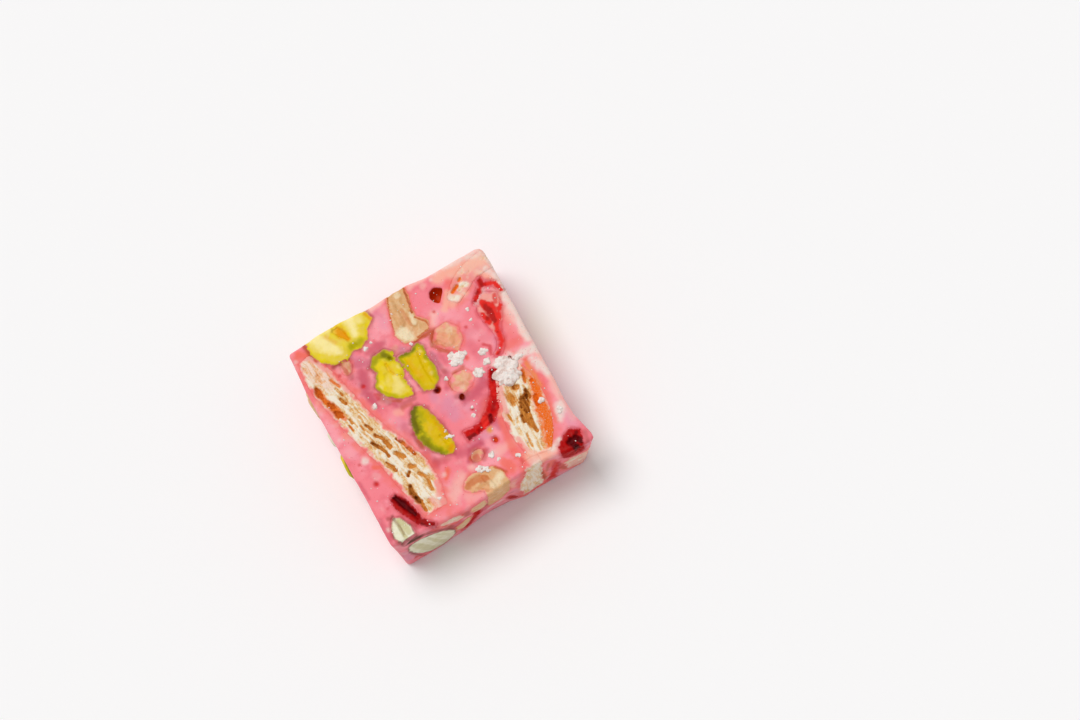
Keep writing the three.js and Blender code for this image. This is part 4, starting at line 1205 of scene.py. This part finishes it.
def makeAlmond(node, material):
    look = almondLook
    piece, rim = fitted(node)
    points = piece.points
    marks = look["marks"].get(piece.kind, {})
    axes, shown = ((0, 2), 1.0) if piece.kind == "front" else ((0, 1), nearTop(points))
    masks = masksOf(piece, marks, ("skin", "streak", "hollow"), look["brush"], shown, axes)
    grid = np.stack([points @ (-0.45, 0.1, 0.9), points @ (0.9, 0, 0.45) / 0.16, points[:, 1]], 1)
    grain = ripple(grid, 4.0, 120)
    edge = smoothStep(0.24, 0.06, rim + 0.08 * ripple(points, 0.9, 122))
    piece.store(
        streak=np.maximum(masks["streak"], 0.5 * smoothStep(0.0, 0.7, grain)),
        skin=np.maximum(masks["skin"], 0.9 * edge),
        veil=veilOf(piece, rim, look["lap"].get(piece.kind, 0.1)),
    )
    tintFilling(piece)
    crown = 0.1 * smoothStep(0.1, 1.2, rim)
    depth = 0.05 * grain + 0.06 * ripple(points, 2.4, 121) + masks["hollow"] - crown
    piece.sink(depth * smoothStep(0.0, 0.25, rim))
    piece.write(material, "almond")


strawberryLook = {
    "red": "c80202", "bright": "ee2e26", "dark": "5a0006", "pink": "fbaea2",
    # how bright, how dark and how pink the whole slice is
    "tone": {
        "slice": (0.7, 0.0, 0.95), "ribbon": (0.5, 0.0, 0.0), "smear": (0.1, 0.0, 0.0),
        "lip": (0.0, 0.3, 0.0), "slash": (0.0, 0.5, 0.0), "seam": (0.8, 0.0, 0.1), "front": (0.2, 0.1, 0.0),
        "foot": (0.0, 0.2, 0.1),
    },
    "usualTone": (0.3, 0.3, 0.05),
    "brush": (0.5, 0.3, 0.9, 135),
    "lap": {
        "slice": 0.35, "ribbon": 0.22, "smear": 0.12, "slash": 0.1, "lip": 0.1, "seam": 0.3, "front": 0.3,
    },
    "marks": {
        "slice": {
            "bright": [
                (1.0, (17.5, 12.4, 0.7), (18.4, 10.6, 1.3), (18.4, 8.2, 1.1)),
                (1.0, (16.2, 9.8, 0.7), (16.7, 8.0, 0.7)),
                (1.0, (18.2, 7.2, 0.8), (17.6, 5.4, 0.8), (17.1, 3.0, 0.8), (16.0, 1.4, 0.8),
                 (14.4, 0.4, 0.7)),
                (0.5, (20.6, 12.4, 0.6), (20.0, 11.0, 0.5)),
                (1.0, (22.0, 12.6, 0.4), (21.1, 10.7, 0.45), (19.9, 9.0, 0.6), (18.8, 7.6, 0.6)),
            ],
            "dark": [
                (0.5, (17.8, 11.4, 0.5), (18.0, 9.6, 0.8), (17.9, 7.6, 0.5)), (0.4, (16.8, 8.8, 0.5)),
                (0.4, (17.3, 5.2, 0.25)), (0.4, (15.8, 1.2, 0.4), (14.4, 0.4, 0.3)),
            ],
            "hollow": [(0.2, (17.8, 11.6, 0.5), (17.8, 9.0, 0.8), (17.7, 7.4, 0.4))],
        },
        "ribbon": {
            "bright": [
                (1.0, (20.6, 15.2, 0.6), (22.0, 14.2, 0.7), (22.7, 12.8, 0.7)), (0.5, (18.6, 16.6, 0.4)),
            ],
            "dark": [
                (0.4, (19.3, 17.4, 0.5), (19.2, 15.2, 0.4)), (0.6, (16.1, 13.2, 0.5)),
                (0.4, (17.6, 14.8, 0.5)),
            ],
        },
        "smear": {
            "bright": [
                (1.0, (6.2, -9.6, 0.9), (5.6, -10.8, 0.6)), (0.5, (10.9, -4.0, 0.4), (10.4, -6.0, 0.4)),
                (0.3, (1.6, -9.8, 0.5)),
            ],
            "dark": [
                (0.8, (7.6, -9.4, 0.5), (7.2, -10.8, 0.5)), (0.5, (4.2, -11.2, 0.5)),
                (0.7, (1.2, -11.4, 0.7), (2.8, -11.4, 0.6)), (0.4, (8.6, -8.6, 0.5), (9.8, -7.2, 0.4)),
                (0.6, (12.6, -1.0, 0.4), (11.6, -3.0, 0.4)),
            ],
            "hollow": [
                (0.25, (7.6, -9.6, 0.4), (4.4, -11.0, 0.4)), (0.2, (12.4, -1.4, 0.3), (10.8, -5.6, 0.3)),
            ],
        },
        "slash": {
            "bright": [(0.3, (-18.4, -15.6, 0.4), (-17.2, -18.4, 0.4), (-16.2, -20.6, 0.3))],
            "dark": [
                (1.0, (-17.6, -14.0, 0.6), (-16.6, -16.4, 0.9), (-15.4, -19.4, 0.6)),
                (0.8, (-15.2, -22.0, 0.4), (-14.4, -23.0, 0.3)),
            ],
            "hollow": [(0.6, (-17.4, -14.4, 0.5), (-16.2, -17.4, 0.7), (-15.2, -20.4, 0.4))],
        },
        "lip": {
            "dark": [
                (1.0, (19.2, -22.4, 1.0), (19.6, -24.0, 0.9)),
                (1.0, (20.4, -22.2, 0.9), (21.2, -23.4, 0.7)), (0.8, (21.0, -21.4, 0.5)),
            ],
            "hollow": [(0.5, (18.8, -22.6, 0.6), (20.4, -22.2, 0.6)), (0.4, (19.8, -24.0, 0.5))],
        },
    },
}


def strawberryMaterial():
    recipe = Recipe("strawberryDried")
    look = paints(strawberryLook)
    blotch = recipe.clouds(1.1, 3.0, seed=41.0)
    fine = recipe.clouds(0.3, 3.0, seed=42.0)
    body = recipe.lay(look["red"], "pink", look["pink"], blotch, 0.4)
    for name in ("bright", "dark"):
        body = recipe.lay(body, name, look[name], blotch, 0.5)
    body = recipe.lay(body, "veil", nougatBody(recipe))
    return recipe.surface(
        Base_Color=body,
        Roughness=(0.4 + fine * 0.3).clamped(),
        IOR=1.48,
        Specular_IOR_Level=0.08,
        Subsurface_Weight=0.12,
        Subsurface_Radius=(1.0, 0.15, 0.1),
        Subsurface_Scale=0.6 * mm,
        Normal=recipe.bump(fine * 0.5 + blotch * 0.5, 0.14, 0.7),
    )


def makeStrawberry(node, material):
    look = strawberryLook
    piece, rim = fitted(node)
    points = piece.points
    bright, dark, pink = look["tone"].get(piece.kind, look["usualTone"])
    marks = look["marks"].get(piece.kind, {})
    masks = masksOf(piece, marks, ("bright", "dark", "hollow"), look["brush"], nearTop(points))
    uneven = ripple(points, 1.5, 132)
    piece.store(
        pink=pink * (1 - masks["bright"]),
        bright=np.maximum(masks["bright"], 0.6 * bright * (1 - pink) + 0.2 * uneven),
        dark=np.maximum(masks["dark"], dark * (1 - masks["bright"])),
        veil=veilOf(piece, rim, look["lap"].get(piece.kind, 0.2)),
    )
    tintFilling(piece)
    wrinkles = abs(ripple(points, 1.3, 130)) + 0.4 * abs(ripple(points, 0.6, 131))
    piece.sink((0.2 * (1 - 0.8 * pink) * wrinkles + masks["hollow"]) * smoothStep(0.0, 0.25, rim))
    piece.write(material, "strawberry")


makers = {
    "biscuit": (makeBiscuit, biscuitMaterial),
    "pistachio": (makePistachio, pistachioMaterial),
    "walnut": (makeWalnut, walnutMaterial),
    "almond": (makeAlmond, almondMaterial),
    "strawberry": (makeStrawberry, strawberryMaterial),
}

makeNougat(nougatMaterial())
for family, (make, mixUp) in makers.items():
    familyMaterial = mixUp()
    for nodeName in families[family]:
        make(nodeName, familyMaterial)
    print(family, "ready:", len(families[family]), "pieces")


powderLook = {
    "white": "f6ebe4", "shade": "dcc2b8",
    # each kind of heap's piece, and the size of its grains
    "grains": {
        "clump": ("milkClumpSkin", 0.75), "lumps": ("milkLumps", 0.42), "crumbs": ("milkCrumbs", 0.22),
    },
    # heaps of fine powder: x, y, half length, half breadth, rise, turn
    "clump": [
        (14.9, -3.8, 2.6, 2.0, 1.15, -10), (14.9, -1.0, 1.5, 1.0, 0.95, 0), (13.3, -3.0, 1.0, 1.0, 0.8, 0),
        (16.4, -2.6, 1.0, 1.2, 0.9, 0), (15.6, -5.0, 1.1, 0.7, 0.75, 0),
    ],
    "lumps": [
        (7.3, 4.3, 1.7, 1.35, 0.75, 30), (6.6, 5.6, 0.8, 0.6, 0.5, 40), (8.9, 4.9, 0.9, 0.5, 0.4, -10),
        (12.8, 3.1, 0.95, 0.85, 0.5, 0), (12.3, 0.9, 0.9, 0.65, 0.45, 20),
        (10.0, -0.3, 1.3, 0.95, 0.55, -15), (3.4, 2.0, 0.4, 0.35, 0.25, 0),
        (14.3, 12.5, 0.45, 0.35, 0.25, 0), (13.8, 10.3, 0.36, 0.3, 0.22, 0),
        (18.4, -1.5, 1.3, 0.6, 0.4, -5), (18.3, -12.0, 0.7, 0.6, 0.4, 20), (4.2, -16.5, 1.0, 0.6, 0.4, 35),
        (4.8, -18.2, 0.35, 0.3, 0.22, 0), (8.5, -19.6, 0.65, 0.5, 0.3, 0),
        (-12.0, 4.3, 0.65, 0.35, 0.22, 60), (-7.9, 16.2, 0.55, 0.35, 0.25, 70),
        (-6.4, 16.7, 0.25, 0.25, 0.18, 0), (0.4, 19.7, 0.4, 0.35, 0.2, 0), (4.7, -7.7, 0.4, 0.35, 0.25, 0),
        (5.3, -5.9, 0.4, 0.3, 0.2, 0), (0.8, 12.2, 0.4, 0.3, 0.2, 0), (-9.5, -19.3, 0.4, 0.3, 0.2, 0),
        (20.3, -15.5, 0.8, 0.5, 0.2, 80),
    ],
    "crumbs": [
        (-1.7, -9.0, 1.35, 0.38, 0.3, -8), (-1.9, -7.5, 0.45, 0.4, 0.28, 0),
        (0.9, -18.3, 2.2, 0.75, 0.35, -36),
    ],
    # loose dust: how many grains, how far they keep from the edges, the least size and the spread
    "dust": (240, 1.5, 0.06, 0.12),
}


def powderMaterial():
    recipe = Recipe("powderDry")
    look = paints(powderLook)
    fine = recipe.clouds(0.25, 3.0, seed=51.0)
    blotch = recipe.clouds(0.9, 3.0, seed=52.0)
    body = recipe.mix(blotch.between(0.42, 0.7), look["white"], look["shade"])
    return recipe.surface(
        Base_Color=body,
        Roughness=0.95,
        Specular_IOR_Level=0.15,
        Subsurface_Weight=0.15,
        Subsurface_Radius=(1.0, 0.75, 0.7),
        Subsurface_Scale=0.4 * mm,
        Normal=recipe.bump(fine, 0.08, 0.8),
    )


def grainsMesh(name, grains, steps=2):
    # one mesh of many rough grains: centre, three half sizes, turn
    build = bmesh.new()
    for centre, halves, turn in grains:
        sized = Matrix.Rotation(turn, 4, "Z") @ Matrix.Diagonal((*halves, 1))
        place = Matrix.Translation(Vector(centre)) @ sized
        made = bmesh.ops.create_icosphere(build, subdivisions=steps, radius=1.0, matrix=place)
        points = np.array([vertex.co for vertex in made["verts"]])
        size = min(halves)
        push = 0.32 * size * rough(points, size * 1.2, 2, 140)
        for vertex, amount in zip(made["verts"], push):
            vertex.co += (vertex.co - Vector(centre)).normalized() * float(amount)
    mesh = bpy.data.meshes.new(name)
    bmesh.ops.scale(build, vec=(mm, mm, mm), verts=build.verts)
    build.to_mesh(mesh)
    build.free()
    return mesh


def heapGrains(draw, heap, size):
    # a heap of powder: grains pressed together, with a few more shed round its foot
    x, y, half, breadth, rise, turn = heap
    cosine, sine = math.cos(math.radians(turn)), math.sin(math.radians(turn))
    grains = []
    for i in range(max(6, int(9 * half * breadth / size))):
        reach = draw.random() ** 0.55 * (1.2 if i % 6 == 0 else 0.85)
        angle = draw.uniform(0, 2 * math.pi)
        along, aside = reach * half * math.cos(angle), reach * breadth * math.sin(angle)
        own = size * draw.uniform(0.5, 1.1) * (0.5 if reach > 0.95 else 1.0)
        own = min(own, 0.8 * breadth)
        height = max(rise * (1 - min(reach, 1) ** 2), 0.5 * own) * draw.uniform(0.75, 1.0)
        centre = onBlock(x + along * cosine - aside * sine, y + along * sine + aside * cosine)
        centre[2] += max(height - own, -0.05)
        grains.append((centre, (own * 1.15, own, own * 0.9), draw.uniform(0, 3)))
        if height > 2 * own:
            grains.append((centre - (0, 0, own), (own * 1.3, own * 1.2, own), draw.uniform(0, 3)))
    return grains


def finishGrains(mesh, material, voxel=None):
    name = mesh.name
    if voxel:
        piece = remesh(mesh, name, voxel)
    else:
        piece = bpy.data.objects.new(name, mesh)
        bpy.context.scene.collection.objects.link(piece)
    points = readPoints(piece.data)
    if voxel:
        points += 0.04 * np.stack([ripple(points, 0.5, seed) for seed in (150, 151, 152)], 1)
    piece.data.vertices.foreach_set("co", ((points + swayed(points)) * mm).ravel())
    piece.data.materials.clear()
    piece.data.materials.append(material)
    piece.data.shade_smooth()
    piece.data.update()
    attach(piece, "root")
    return piece


def makePowder(material):
    look = powderLook
    draw = np.random.default_rng(21)
    fine = fineness["powder"]
    for kind, (name, size) in look["grains"].items():
        grains = [grain for heap in look[kind] for grain in heapGrains(draw, heap, size)]
        finishGrains(grainsMesh(name, grains), material, fine)
    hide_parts("milk_clump")
    count, margin, least, spread = look["dust"]
    low, high = (np.array(corner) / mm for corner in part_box("nougat"))
    dust = []
    for _ in range(count):
        across = draw.uniform(low[0] + margin, high[0] - margin)
        along = draw.uniform(low[1] + margin, high[1] - margin)
        place = np.array([across, along, blockTop])
        size = least + spread * draw.random() ** 3
        dust.append((place, (size * 1.3, size, size * 0.7), draw.uniform(0, 3)))
    finishGrains(grainsMesh("milkDust", dust, 1), material)
    print("powder ready")


makePowder(powderMaterial())


# how bright the sky and the key light are, how soft the key is in degrees, and where it stands
studio = {"floor": "fdfcfc", "sky": 0.45, "key": 1.75, "soft": 35, "keyPlace": (-0.08, 0.26, 0.6)}
# the camera's rise and roll in degrees, its reach in metres, its lens, and what it looks at
eye = {"rise": 73.75, "roll": 29.8, "reach": 0.6, "lens": 97.0, "aim": (0.02202, -0.00229, 0.008)}


def makeFloor():
    build = bmesh.new()
    bmesh.ops.create_grid(build, x_segments=4, y_segments=4, size=2.0)
    mesh = bpy.data.meshes.new("floor")
    build.to_mesh(mesh)
    build.free()
    floor = bpy.data.objects.new("floor", mesh)
    bpy.context.scene.collection.objects.link(floor)
    recipe = Recipe("floorPale")
    mesh.materials.append(recipe.surface(Base_Color=paint(studio["floor"]), Roughness=0.9))


def makeLight():
    world = bpy.data.worlds.new("studio")
    bpy.context.scene.world = world
    world.use_nodes = True
    sky = world.node_tree.nodes["Background"]
    sky.inputs["Color"].default_value = (1, 1, 1, 1)
    sky.inputs["Strength"].default_value = studio["sky"]
    lamp = bpy.data.lights.new("key", "SUN")
    lamp.energy = studio["key"]
    lamp.angle = math.radians(studio["soft"])
    key = bpy.data.objects.new("key", lamp)
    key.location = studio["keyPlace"]
    key.rotation_euler = (-key.location).to_track_quat("-Z", "Y").to_euler()
    bpy.context.scene.collection.objects.link(key)
    view = bpy.context.scene.view_settings
    view.view_transform = "Standard"
    view.look = "None"


def makeCamera():
    lens = bpy.data.cameras.new("camera")
    lens.lens = eye["lens"]
    lens.sensor_width = 36
    lens.clip_start = 0.01
    camera = bpy.data.objects.new("camera", lens)
    rise = math.radians(eye["rise"])
    back = Vector((0, -math.cos(rise), math.sin(rise)))
    camera.location = Vector(eye["aim"]) + back * eye["reach"]
    upright = (-back).to_track_quat("-Z", "Y").to_matrix()
    turned = upright @ Matrix.Rotation(-math.radians(eye["roll"]), 3, "Z")
    camera.rotation_euler = turned.to_euler()
    bpy.context.scene.collection.objects.link(camera)
    bpy.context.scene.camera = camera


makeFloor()
makeLight()
makeCamera()
print("studio ready")
